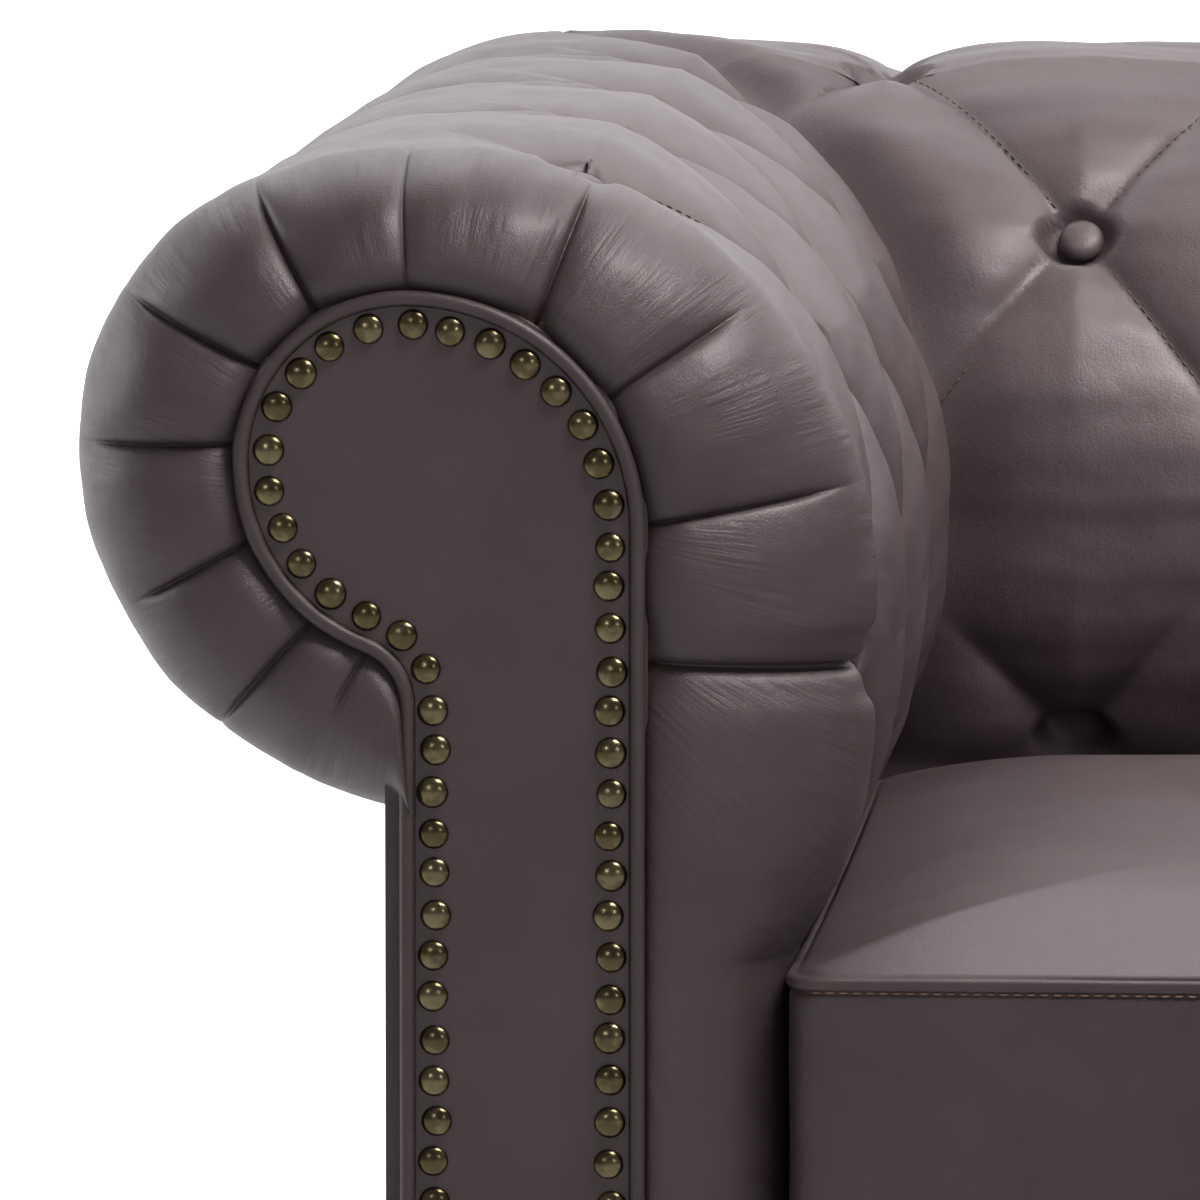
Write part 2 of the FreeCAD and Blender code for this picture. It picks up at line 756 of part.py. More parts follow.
# Seat frame: rails between the arm frames, with cross rails and the blocks that take the feet
block("front_rail", ("-inner_plane", "rail_front", "base_height"), ("inner_plane", "rail_rear", "rail_top"))
block("back_rail", ("-rib_plane", "ply_rear", "base_height"), ("rib_plane", "back_rail_rear", "rail_top"))
block("base_rail", ("-outer_plane", "base_rail_front", "base_height"),
      ("outer_plane", "outer_rear", "rail_top"))
side_rail = block("side_rail_left", ("-outer_plane", "board_rear", "base_height"),
                  ("-side_rail_plane", "base_rail_front", "rail_top"))
mirrored(side_rail, "side_rail_right")
cross_rails = []
for side in ("-", ""):
    middle = f"{side}(half_span - cushion_width)"
    cross_rails.append(block(f"cross_rail_{len(cross_rails) + 1}",
                             (f"{middle} - rail_thickness / 2", "rail_rear", "base_height"),
                             (f"{middle} + rail_thickness / 2", "ply_rear", "base_height + cross_rail_height"),
                             final=False))
grouped("cross_rails", cross_rails)
corner_block = block("corner_block", ("-side_rail_plane", "board_rear", "base_height"),
                     ("-rib_plane", "board_rear + block_depth", "base_height + block_height"), final=False)
other_block = DOC.addObject("Part::Mirroring", "other_corner_block")
other_block.Source = corner_block
other_block.Normal = Vector(1, 0, 0)
front_block = block("front_middle_block", ("-block_depth / 2", "rail_rear", "base_height"),
                    ("block_depth / 2", "rail_rear + block_depth", "base_height + block_height"), final=False)
back_block = block("back_middle_block", ("-block_depth / 2", "ply_rear - block_depth", "base_height"),
                   ("block_depth / 2", "ply_rear", "base_height + block_height"), final=False)
grouped("foot_blocks", [corner_block, other_block, front_block, back_block])
left_post = block("corner_post_left", ("-side_rail_plane", "ply_rear", "base_height"),
                  ("-rib_plane", "base_rail_front", "scroll_right_height"))
mirrored(left_post, "corner_post_right")

# Webbing straps over the seat, the deck on them and the cloth under the frame
straps = []
for index in range(int(size("webbing_count"))):
    middle = f"-half_span + ({index} + 0.5) * 2 * half_span / webbing_count"
    straps.append(block(f"strap_{index + 1}",
                        (f"{middle} - webbing_width / 2", "rail_rear - webbing_lap", "rail_top"),
                        (f"{middle} + webbing_width / 2", "ply_rear + webbing_lap",
                         "rail_top + webbing_thickness"), final=False))
grouped("seat_webbing", straps)
block("seat_deck", ("-seat_plane", "rail_front + clearance", "deck_bottom"),
      ("seat_plane", "back_pad_front", "deck_top"))
block("front_border", ("-seat_plane", "border_front", "base_height"), ("seat_plane", "rail_front", "deck_top"))
block("dust_cover", ("-outer_plane", "rail_front", "foot_top"), ("outer_plane", "outer_rear", "base_height"))

# Arm frames: scroll boards at the front, a plywood wall behind the tufting and bent plywood under the roll
front_board = profile_body("arm_front_board_left", "XZ_Plane", scroll_stretches(WELT_OUT, BASE), arm_flat,
                           "board_thickness", "board_rear")
mirrored(front_board, "arm_front_board_right")
wall = block("arm_inner_board_left", ("-rib_plane", "board_rear", "base_height"),
             ("-inner_plane", "ply_front", "scroll_right_height"))
mirrored(wall, "arm_inner_board_right")
arm_roll = profile_body("arm_roll_blank", "XZ_Plane", roll_board_stretches(), arm_flat,
                        "overall_depth - roll_radius - facing_thickness - board_thickness",
                        "rear_face - roll_radius", final=False)
arm_roll_board = mitred("arm_roll_board_left", arm_roll, [arm_mitre()])
mirrored(arm_roll_board, "arm_roll_board_right")
panel_top = f"{ROLL_FOOT} - clearance"
arm_panel = block("arm_outer_panel_left",
                  ("-(half_width - panel_out)", "front_face + facing_thickness", "base_height"),
                  ("-(outer_plane + clearance)", "outer_rear + clearance", panel_top))
mirrored(arm_panel, "arm_outer_panel_right")

# Back frame: ribs on the rails, a plywood wall and bent plywood between the arms' mitres
block("back_inner_board", ("-rib_plane", "ply_front", "deck_bottom"),
      ("rib_plane", "ply_rear", "scroll_right_height"))
ribs = []
for index in range(CUSHIONS + 1):
    middle = f"-half_span + {index} * cushion_width"
    ribs.append(profile_body(f"rib_{index + 1}", "YZ_Plane", scroll_stretches(-RIB_INSET, size("rail_top")),
                             back_flat, "board_thickness", f"{middle} - board_thickness / 2", final=False))
grouped("back_ribs", ribs)
back_roll = profile_body("back_roll_blank", "YZ_Plane", roll_board_stretches(), back_flat,
                         "2 * (half_width - roll_radius)", "-(half_width - roll_radius)", final=False)
mitred("back_roll_board", back_roll, [back_mitre(), across(back_mitre())])
block("back_outer_panel", ("-(half_width - panel_out)", "outer_rear + clearance", "base_height"),
      ("half_width - panel_out", "rear_face - panel_out", panel_top))

# Padding
arm_pad = feature("arm_pad_left", arm_pad_shape())
mirrored(arm_pad, "arm_pad_right")
feature("back_pad", back_pad_shape())
corner = feature("corner_pad_left", corner_pad_shape())
mirrored(corner, "corner_pad_right")

# Trim: leather facings in the scrolls, the welt round them, brass nails and covered buttons
facing = profile_body("arm_facing_left", "XZ_Plane", scroll_stretches(-WELT_OUT - CLEAR, BASE), arm_flat,
                      "facing_thickness", "front_face + facing_thickness")
mirrored(facing, "arm_facing_right")
welt = feature("arm_welt_left", welt_shape())
mirrored(welt, "arm_welt_right")
nails = feature("arm_nails_left", nail_group())
mirrored(nails, "arm_nails_right")
arm_button_group = feature("arm_buttons_left", button_group(arm_buttons()))
mirrored(arm_button_group, "arm_buttons_right")
feature("back_buttons", button_group(back_buttons()))

# Seat cushions: a leather cover round a foam core
for index, name in enumerate(("left", "middle", "right")):
    centre = -HALF_SPAN + (index + 0.5) * size("cushion_width")
    hollow = cushion_shape(centre, size("leather"))
    feature(f"cushion_cover_{name}", cushion_shape(centre, 0).cut(hollow))
    feature(f"cushion_core_{name}", cushion_shape(centre, size("leather") + CLEAR))

# Feet and the glides under them
glides = []
for name, (x, y) in FOOT_SPOTS.items():
    foot = feature(f"foot_{name}", foot_shape())
    foot.setExpression("Placement.Base.x", rule(x))
    foot.setExpression("Placement.Base.y", rule(y))
    glide = DOC.addObject("Part::Prism", f"glide_{name}")
    glide.Polygon = FOOT_SIDES
    glide.setExpression("Circumradius", rule("glide_diameter / 2"))
    glide.setExpression("Height", rule("glide_height"))
    glide.setExpression("Placement.Base.x", rule(x))
    glide.setExpression("Placement.Base.y", rule(y))
    glides.append(glide)
grouped("foot_glides", glides)

DOC.recompute()
for item in DOC.Objects:
    if "Invalid" in item.State or "Error" in item.State:
        raise RuntimeError(f"{item.Label} failed to build")
for item in NODES:
    if item.Shape.isNull() or not item.Shape.isValid() or not item.Shape.Solids:
        raise RuntimeError(f"{item.Label} has no sound solid")
os.makedirs("parts", exist_ok=True)
for item in NODES:
    item.Shape.exportStep(f"parts/{item.Label}.step")
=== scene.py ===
"""Looks of a three-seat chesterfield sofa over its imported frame: leather, tufts, nails and stitches."""

import json
import math

import bmesh
import bpy
import numpy as np
from mathutils import Matrix, Vector


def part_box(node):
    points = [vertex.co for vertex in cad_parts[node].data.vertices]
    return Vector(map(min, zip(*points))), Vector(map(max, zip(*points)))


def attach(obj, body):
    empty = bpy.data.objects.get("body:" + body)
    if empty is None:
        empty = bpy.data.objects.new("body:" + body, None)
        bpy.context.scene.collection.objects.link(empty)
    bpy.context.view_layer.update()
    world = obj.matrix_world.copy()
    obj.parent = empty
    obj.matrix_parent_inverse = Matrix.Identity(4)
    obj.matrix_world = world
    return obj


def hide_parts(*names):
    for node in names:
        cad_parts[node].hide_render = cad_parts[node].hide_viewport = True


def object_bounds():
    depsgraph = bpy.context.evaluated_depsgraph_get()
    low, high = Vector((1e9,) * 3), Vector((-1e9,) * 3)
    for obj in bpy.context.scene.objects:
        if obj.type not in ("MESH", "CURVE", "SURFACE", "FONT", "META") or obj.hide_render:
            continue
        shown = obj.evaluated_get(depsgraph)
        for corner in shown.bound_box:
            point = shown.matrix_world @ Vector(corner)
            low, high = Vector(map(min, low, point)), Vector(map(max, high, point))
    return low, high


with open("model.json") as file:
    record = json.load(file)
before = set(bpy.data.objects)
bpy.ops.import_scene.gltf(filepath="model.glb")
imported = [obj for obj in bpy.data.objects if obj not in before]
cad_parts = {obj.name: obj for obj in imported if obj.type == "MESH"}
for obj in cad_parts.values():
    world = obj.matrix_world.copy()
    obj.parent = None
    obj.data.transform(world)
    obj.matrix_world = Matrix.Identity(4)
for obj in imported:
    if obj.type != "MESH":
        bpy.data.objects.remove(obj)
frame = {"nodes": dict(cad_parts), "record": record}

CAD_BOX = [list(corner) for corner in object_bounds()]
SOFA = "sofa"
MM = 0.001
RANDOM = np.random.default_rng(7)
SIDES = (("left", 1), ("right", -1))
CUSHIONS = (("left", -540.0), ("middle", 0.0), ("right", 540.0))


def millimetres(node, corner, axis):
    """One coordinate of a node's box, at its lowest corner (0) or its highest (1)."""
    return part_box(node)[corner][axis] / MM


# Places that the frame gives, in millimetres
HALF_WIDTH = CAD_BOX[1][0] / MM
REAR = CAD_BOX[1][1] / MM
FRONT = millimetres("arm_facing_left", 0, 1)
BASE = millimetres("front_rail", 0, 2)
DEPTH = REAR - FRONT
SEAM = 430.0
PAD_BOTTOM = millimetres("back_pad", 0, 2)

# The section that the arms and the back share, where a is the distance inwards from the outermost point.
# Circles are (centre a, centre z, radius) in millimetres, and turns are in degrees.
ROLL = (121.0, 630.0, 121.0)
ROLL_FOOT = 268.0
CREST = (117.0, 570.0, 193.0)
INNER = 271.5
SEAT_ROW = (INNER, SEAM + 4)
LAP = (301.5, SEAM + 62)
OUTLINE_LEFT = (126.0, 630.0, 64.5)
OUTLINE_RIGHT = (126.0, 605.0, 89.5)
OUTLINE_HEEL = (136.5, 630.0, 75.0)
OUTLINE_NECK = (101.0, 536.5, 25.0)
NECK_TURN = 69.2
NECK_START = 250.0
WELT = 3.0
FRONT_ROLL = 55.0
ROLL_END = DEPTH - ROLL[2]

# Rows of tufts on the seat's side: 1 is the top one, 0.5 and 0 are below it, -0.5 is behind the cushions.
# ROLL_ROW is where the roll's own circle starts, and ON_ROLL marks the points on that circle.
ROW_LOW = -6.5
ROW_ANGLE = 74.0
ROW_RUN = 249.3
ROLL_ROW = 1.25
ON_ROLL = 9.0
FIRST_TUFT = 90.0
ARM_PITCH = (618.5 - FIRST_TUFT) / 3
BACK_PITCH = 180.0
MEAN_PITCH = 178.0
HALF_SPAN = 810.0
TUFT_DEPTH = 24.0
SEAM_DEPTH = 11.5
SOFTNESS = 0.5
DIMPLE = (9.0, 24.0)


# Section curves

def polar(centre_a, centre_z, radius, degrees):
    """Points on a circle of the section at the given turns."""
    turn = np.radians(degrees)
    return np.stack([centre_a + radius * np.cos(turn), centre_z + radius * np.sin(turn)], axis=-1)


def arc_through(first, middle, last, share):
    """Points on the arc through three points, by share of the way from the first to the last."""
    (ax, ay), (bx, by), (cx, cy) = first, middle, last
    double = 2 * (ax * (by - cy) + bx * (cy - ay) + cx * (ay - by))
    aa, bb, cc = ax * ax + ay * ay, bx * bx + by * by, cx * cx + cy * cy
    x = (aa * (by - cy) + bb * (cy - ay) + cc * (ay - by)) / double
    y = (aa * (cx - bx) + bb * (ax - cx) + cc * (bx - ax)) / double
    turns = np.unwrap([math.atan2(ay - y, ax - x), math.atan2(by - y, bx - x), math.atan2(cy - y, cx - x)])
    turn = turns[0] + (turns[2] - turns[0]) * share
    return np.stack([x + math.hypot(ax - x, ay - y) * np.cos(turn),
                     y + math.hypot(ax - x, ay - y) * np.sin(turn)], axis=-1)


def crest_line(rows):
    """Crest of the padding by row number: 1 top tufts, 0.5 and 0 below, -0.5 behind the cushions."""
    rows = np.asarray(rows, float)
    low, top = polar(*CREST, ROW_LOW), polar(*CREST, ROW_LOW + ROW_ANGLE)
    over = arc_through(top, ((top[0] + ROLL[0]) / 2, ROLL[1] + ROLL[2] + 1), (ROLL[0], ROLL[1] + ROLL[2]),
                       (rows - 1) / (ROLL_ROW - 1))
    lap = arc_through(low, LAP, SEAT_ROW, -2 * rows)
    run = 2 * math.radians(ROW_ANGLE / 2) * CREST[2]
    straight = np.stack([np.full_like(rows, INNER), SEAT_ROW[1] + run * (rows + 0.5)], axis=-1)
    level = rows[..., None]
    crest = polar(*CREST, ROW_LOW + ROW_ANGLE * rows)
    return np.where(level > 1, over, np.where(level >= 0, crest, np.where(level >= -0.5, lap, straight)))


def crest_normal(rows):
    """Outward direction of the crest by row number."""
    step = crest_line(rows + 0.002) - crest_line(rows - 0.002)
    length = np.hypot(step[..., 0], step[..., 1])[..., None]
    return np.stack([step[..., 1], -step[..., 0]], axis=-1) / length


def outline_by_turn(turns, out):
    """The scroll outline moved out by a distance, on the roll's side, by the roll's angle."""
    neck = polar(OUTLINE_NECK[0], OUTLINE_NECK[1], OUTLINE_NECK[2] - out,
                 NECK_TURN * (ROLL_FOOT - turns) / (ROLL_FOOT - NECK_START))
    heel = polar(OUTLINE_HEEL[0], OUTLINE_HEEL[1], OUTLINE_HEEL[2] + out,
                 180 + NECK_TURN * (turns - 180) / (NECK_START - 180))
    left = polar(OUTLINE_LEFT[0], OUTLINE_LEFT[1], OUTLINE_LEFT[2] + out, turns)
    # Past the roll's foot the outline runs down, tucked in under the roll
    tucked = np.stack([OUTLINE_LEFT[0] - out + 0.4 * (turns - ROLL_FOOT),
                       OUTLINE_NECK[1] - 8.0 * (turns - ROLL_FOOT)], axis=-1)
    level = turns[..., None]
    upper = np.where(level > NECK_START, neck, np.where(level > 180, heel, left))
    return np.where(level > ROLL_FOOT, tucked, upper)


def outline_by_row(rows, out):
    """The scroll outline moved out by a distance, on the seat's side, by row number."""
    low = crest_line(np.array(0.0))[1]
    right = OUTLINE_RIGHT[0] + OUTLINE_RIGHT[2] + out
    arc = polar(OUTLINE_RIGHT[0], OUTLINE_RIGHT[1], OUTLINE_RIGHT[2] + out, 90 * (rows - 0.25))
    height = np.where(rows >= 0, low + (OUTLINE_RIGHT[1] - low) * rows / 0.25,
                      np.where(rows >= -0.5, low - (SEAT_ROW[1] - low) * 2 * rows, crest_line(rows)[..., 1]))
    column = np.stack([np.full_like(rows, right), height], axis=-1)
    return np.where(rows[..., None] > 0.25, arc, column)


def scroll_path(out, low):
    """Points along the scroll outline moved out by a distance, from its outer foot to its inner foot."""
    roll_side = outline_by_turn(np.linspace(ROLL_FOOT, 90, 260), out)
    seat_side = outline_by_row(np.linspace(ROLL_ROW, 0.25, 160), out)
    outer_foot, inner_foot = (roll_side[0, 0], low), (OUTLINE_RIGHT[0] + OUTLINE_RIGHT[2] + out, low)
    return np.concatenate([[outer_foot], roll_side, seat_side, [inner_foot]])


def distances(line):
    """Distance from the start to each point along a line of points."""
    return np.concatenate([[0], np.cumsum(np.linalg.norm(np.diff(line, axis=0), axis=1))])


def along(line, count):
    """That many evenly spaced points along a line of points, with the direction at each."""
    steps = np.linalg.norm(np.diff(line, axis=0), axis=1)
    line = line[np.concatenate([[True], steps > 1e-6])]
    run = distances(line)
    spots = np.linspace(0, run[-1], count)
    points = np.stack([np.interp(spots, run, line[:, k]) for k in range(line.shape[1])], axis=-1)
    ahead = np.gradient(points, axis=0)
    return points, ahead / np.linalg.norm(ahead, axis=1)[:, None]


# Folds and tufts

def smooth(low, high, values):
    """Share of the way from low to high, eased at both ends."""
    share = np.clip((values - low) / (high - low), 0, 1)
    return share * share * (3 - 2 * share)


def ripples(x, y, long_x, long_y, count=9):
    """Soft uneven waves, mostly between -1 and 1, whose usual lengths are given in millimetres."""
    total = np.zeros(np.broadcast(x, y).shape)
    for _ in range(count):
        turn_x, turn_y = RANDOM.normal(0, 1, 2)
        total += np.sin(2 * math.pi * (turn_x * x / long_x + turn_y * y / long_y) + RANDOM.uniform(0, 6.3))
    return total / math.sqrt(count) / 1.5


def tuft_sink(u, v):
    """Depth of the leather under the crest: deep at each button, less along the sewn seams."""
    first = np.sqrt(np.sin(math.pi * (u + v)) ** 2 + 0.0006)
    second = np.sqrt(np.sin(math.pi * (u - v)) ** 2 + 0.0006)
    longer, across = np.maximum(first, second), np.minimum(first, second)
    line = TUFT_DEPTH - (TUFT_DEPTH - SEAM_DEPTH) * longer ** 0.6
    plus, minus = u + v - np.round(u + v), u - v - np.round(u - v)
    away = np.hypot((plus + minus) / 2 * MEAN_PITCH, (plus - minus) / 2 * ROW_RUN)
    dimple = (TUFT_DEPTH - 1) * (1 - smooth(*DIMPLE, away))
    fade = np.where(v > 1, (ROLL_ROW - v) / (ROLL_ROW - 1), np.where(v < -0.5, 1 - (-0.5 - v) / 0.25, 1))
    return np.maximum(line * (1 - across ** SOFTNESS), dimple) * np.clip(fade, 0, 1)


def top_folds(ring, u, pitch, deep):
    """Folds that run on from the top tufts over the roll, by ring point and station."""
    past = np.where(ring.v < ON_ROLL, (ring.v - 1) * 280, 70 + (ring.turn - 90) * 2.11)[:, None]
    reach = smooth(0, 30, past) * (1 - smooth(70, 165, past))
    across = np.abs(u - np.round(u)) * pitch
    return deep * reach * (0.6 * np.exp(-across / 8) + 0.4 * np.exp(-(across / 30) ** 2))


def toward_corner(lift, gap, v):
    """Draws the lift down into the valley of an inner corner, or into the seam of an outer one."""
    inner = v < ON_ROLL
    valley = 13.0 * smooth(1.3, 1.0, np.where(inner, v, 2)) * smooth(-0.75, -0.5, v)
    near = np.exp(-(gap / 20) ** 2)
    seam = 1.2 * (1 - smooth(0, 4, gap))
    return np.where(inner, lift * (1 - near) - valley * near, lift * smooth(0, 25, gap) - seam)


# Folds of the front roll. Each: its turn or row at the welt and at the crest, how deep and how wide it is in
# millimetres, and the share of the way to the crest at which it ends.
TURN_FOLDS = [(251, 252, 4, 2.5, 0.5), (233, 235.8, 7.5, 3, 1.05), (203.3, 208.9, 7.5, 3, 0.9),
              (174, 177.6, 8.5, 3, 0.97), (146.9, 149.6, 8.5, 3, 1.02), (121, 118.9, 8, 3, 1.05)]
ROW_FOLDS = [(1.25, 1.25, 2.6, 1.4, 2.0), (0.889, 0.966, 8, 3, 1.02), (0.62, 0.635, 6.5, 3, 0.93),
             (0.259, 0.297, 7.5, 3, 0.98), (0.021, 0.0, 11, 3.5, 1.6)]

# Where the ring has points beside each crease, in millimetres from it
CREASE_STEPS = np.array([-6.0, -4.2, -2.9, -1.9, -1.2, -0.6, 0.0, 0.6, 1.2, 1.9, 2.9, 4.2, 6.0])

# How much fuller the front of the roll is than the roll behind it, by turn, in millimetres
FRONT_SWELL = [(90, -3), (110, -2.5), (122, 0.6), (132, 2.8), (143, 5), (157, 6.6), (180, 7), (210, 6.2),
               (240, 8.4), (257, 12.5), (268, 16), (273, 16)]

# Turn at which the roll's leather ends, tucked in under the roll
ROLL_TUCK = 273.0

# How much higher the tufts of the back sit than those of the arms, in rows
BACK_RAISE = 0.047

# Lengths of the section over the roll and down its tufted side
OVER_ROLL, TUFTED_SIDE = 386, 440


class Ring:
    """Points round the section, from the roll's foot over its top and down the tufted side."""

    def __init__(self, step, foot, folded=False):
        turns = np.linspace(ROLL_TUCK, 90, int(OVER_ROLL / step))
        rows = self.rows_by_length(ROLL_ROW, -0.5, int(TUFTED_SIDE / step))
        if folded:
            near = np.concatenate([fold[1] - CREASE_STEPS / math.radians(1) / ROLL[2] for fold in TURN_FOLDS])
            turns = self.thinned(turns, near, step / ROLL[2] * 57.3, 90, ROLL_TUCK)
            near = np.concatenate([fold[1] + CREASE_STEPS / ROW_RUN for fold in ROW_FOLDS])
            rows = self.thinned(rows, near, step / ROW_RUN, -0.5, ROLL_ROW)
        lower = self.rows_by_length(-0.5, foot, max(8, int((SEAT_ROW[1] - 90) / 7)))
        self.turns = turns
        self.rows = np.concatenate([rows[1:], lower[1:]])
        self.crest = np.concatenate([polar(*ROLL, turns), crest_line(self.rows)])
        self.normal = np.concatenate([polar(0, 0, 1, turns), crest_normal(self.rows)])
        turn_ends = [(fold[1], fold[0]) for fold in TURN_FOLDS]
        turn_ends += [(90, 90), (ROLL_FOOT, ROLL_FOOT), (280, 280)]
        row_ends = [(fold[1], fold[0]) for fold in ROW_FOLDS] + [(-0.5, -0.5), (-9, -9)]
        welt_turns = np.interp(turns, *np.transpose(sorted(turn_ends)))
        welt_rows = np.interp(self.rows, *np.transpose(sorted(row_ends)))
        self.welt = np.concatenate([outline_by_turn(welt_turns, WELT / 2),
                                    outline_by_row(welt_rows, WELT / 2)])
        self.v = np.concatenate([np.full(len(turns), ON_ROLL), self.rows])
        self.turn = np.concatenate([turns, np.full(len(self.rows), 0.0)])
        self.run = distances(self.crest)

    @staticmethod
    def thinned(values, kept, step, low, high):
        """The kept values and those others that are half a step or more from them, from high to low."""
        gap = np.min(np.abs(values[:, None] - kept[None, :]), axis=1)
        values = np.unique(np.round(np.concatenate([values[gap > step / 2], kept, [low, high]]), 5))
        return values[(values >= low) & (values <= high)][::-1]

    @staticmethod
    def rows_by_length(start, end, count):
        """Rows at even distances along the crest."""
        rows = np.linspace(start, end, 4000)
        run = distances(crest_line(rows))
        return np.interp(np.linspace(0, run[-1], count), run, rows)

    def run_at_turn(self, turn):
        """Distance round the ring at a turn of the roll."""
        return np.interp(-turn, -self.turns, self.run[:len(self.turns)])

    def run_at_row(self, row):
        """Distance round the ring at a row."""
        return np.interp(-row, -self.rows, self.run[len(self.turns):])


def front_folds(ring, share):
    """How deep the folds of the front roll press in and how far the leather swells between them."""
    depth = np.zeros((len(ring.run), len(share)))
    shrink = 0.55 + 0.45 * share[None, :]
    folds = [(ring.run_at_turn(fold[1]), *fold[2:]) for fold in TURN_FOLDS]
    folds += [(ring.run_at_row(fold[1]), *fold[2:]) for fold in ROW_FOLDS]
    for end, deep, wide, reach in folds:
        gap = np.abs(ring.run[:, None] - end) * shrink
        fade = 1 - smooth(reach * 0.7, reach, share)[None, :]
        broad = 1 - smooth(reach * 0.3, reach, share)[None, :]
        crease = 0.6 * fade * np.exp(-gap / wide * 2.2) + 0.4 * broad * np.exp(-(gap / (3.4 * wide)) ** 2)
        depth = np.maximum(depth, deep * crease)
    lines = [-20.0] + [fold[0] for fold in folds] + [folds[-1][0] + 160]
    place = np.interp(ring.run, lines, np.arange(len(lines)))
    place = place - np.floor(place)
    return depth, (4 * place * (1 - place))[:, None] ** 0.8


def arm_points(step):
    """The padded arm's surface, by ring point and station.

    Each point has its distance inwards, its distance behind the facing and its height.
    """
    ring = Ring(step, -0.5 - (SEAT_ROW[1] - BASE) / ROW_RUN, folded=True)
    lean = np.linspace(0, math.pi / 2, int(110 / step))
    share, ahead = np.sin(lean), np.cos(lean)
    body = np.linspace(0, 1, int((ROLL_END - FRONT_ROLL) / (step * 1.4)))[1:]
    count = len(ring.run)
    section = ring.welt[:, None, :] + (ring.crest - ring.welt)[:, None, :] * share[None, :, None]
    section = np.concatenate([section, np.repeat(ring.crest[:, None, :], len(body), axis=1)], axis=1)
    crest_end = ROLL_END - np.maximum(ring.crest[:, 0] - ROLL[0], 0)
    y = np.concatenate([np.tile(FRONT_ROLL * (1 - ahead), (count, 1)),
                        FRONT_ROLL + body[None, :] * (crest_end[:, None] - FRONT_ROLL)], axis=1)
    shares = np.concatenate([share, np.ones(len(body))])
    aheads = np.concatenate([ahead, np.zeros(len(body))])
    v = ring.v[:, None]
    inner = v < ON_ROLL
    u = (y - FIRST_TUFT) / ARM_PITCH
    tufts = np.where(inner, tuft_sink(np.maximum(u, 0), np.minimum(v, ROLL_ROW)), 0)
    tufts = np.maximum(tufts, top_folds(ring, u, ARM_PITCH, 4.5) * (u > 0.5))
    tufts = tufts * np.where(u < 0, np.exp(u * ARM_PITCH / 26), 1)
    folds, pillow = front_folds(ring, shares)
    behind = np.maximum(y - FRONT_ROLL, 0)
    folds = folds * np.exp(-behind / 12) * smooth(-0.75, -0.3, v)
    window = smooth(0, 0.22, shares) * (1 - 0.75 * smooth(0.5, 1, shares))
    window = window[None, :] * np.exp(-behind / 25)
    puff = (3.5 + 2.2 * pillow) * window * (0.35 + 0.65 * smooth(-0.6, -0.1, v))
    puff = puff - 3.5 * np.exp(-shares * 24)[None, :]
    swell = np.where(inner, np.interp(v, [-0.5, 0, 1.0, ROLL_ROW], [0, -4, -5, -3]),
                     np.interp(ring.turn, *np.transpose(FRONT_SWELL))[:, None])
    swell = swell * smooth(0.0, 0.9, shares)[None, :] * (1 - smooth(75, 150, y))
    waves = ripples(ring.run[:, None], y, 60, 90) * 0.8 + ripples(ring.run[:, None], y, 17, 40) * 0.1
    lift = puff + swell - folds - tufts + waves * smooth(0.1, 0.5, shares)[None, :]
    mitre_gap = crest_end[:, None] - y
    lift = toward_corner(lift, mitre_gap, v)
    normal = ring.normal[:, None, :] * shares[None, :, None]
    section = section + normal * lift[..., None]
    y = y - aheads[None, :] * lift
    end = ROLL_END - np.maximum(section[..., 0] - ROLL[0], 0)
    y = y + (end - crest_end[:, None]) * np.exp(-(mitre_gap / 60) ** 2) * (shares[None, :] >= 1)
    return np.stack([section[..., 0], y, section[..., 1]], axis=-1)


def back_points(step):
    """The padded back's surface, by ring point and station.

    Each point has its distance from the rear, its place across and its height.
    """
    ring = Ring(step * 1.3, -0.5 - (SEAT_ROW[1] - PAD_BOTTOM) / ROW_RUN)
    crest_end = HALF_WIDTH - ROLL[0] - np.maximum(ring.crest[:, 0] - ROLL[0], 0)
    share = np.linspace(-1, 1, int(2 * HALF_SPAN / (step * 1.6)) // 2 * 2 + 1)
    x = share[None, :] * crest_end[:, None]
    v = ring.v[:, None]
    inner = v < ON_ROLL
    u = (x + HALF_SPAN) / BACK_PITCH
    tufts = np.where(inner, tuft_sink(u, np.minimum(v, ROLL_ROW) - BACK_RAISE), 0) * smooth(1.25, 1.13, v)
    waves = ripples(x, ring.run[:, None], 90, 60) * 0.8 + ripples(x, ring.run[:, None], 40, 17) * 0.1
    end_tuft = np.abs(u - 4.5) > 4.0
    tufts = np.maximum(tufts, top_folds(ring, u, BACK_PITCH, np.where(end_tuft, 19.0, 12.0)))
    settled = 4.0 * np.where(inner, smooth(0.6, 1.1, v), smooth(150, 100, ring.turn)[:, None])
    gap = crest_end[:, None] - np.abs(x)
    lift = toward_corner(waves - tufts - settled * smooth(20, 70, gap), gap, v)
    section = ring.crest[:, None, :] + ring.normal[:, None, :] * lift[..., None]
    end = HALF_WIDTH - ROLL[0] - np.maximum(section[..., 0] - ROLL[0], 0)
    x = x + np.sign(x) * (end - crest_end[:, None]) * np.exp(-(gap / 60) ** 2)
    return np.stack([section[..., 0], x, section[..., 1]], axis=-1)


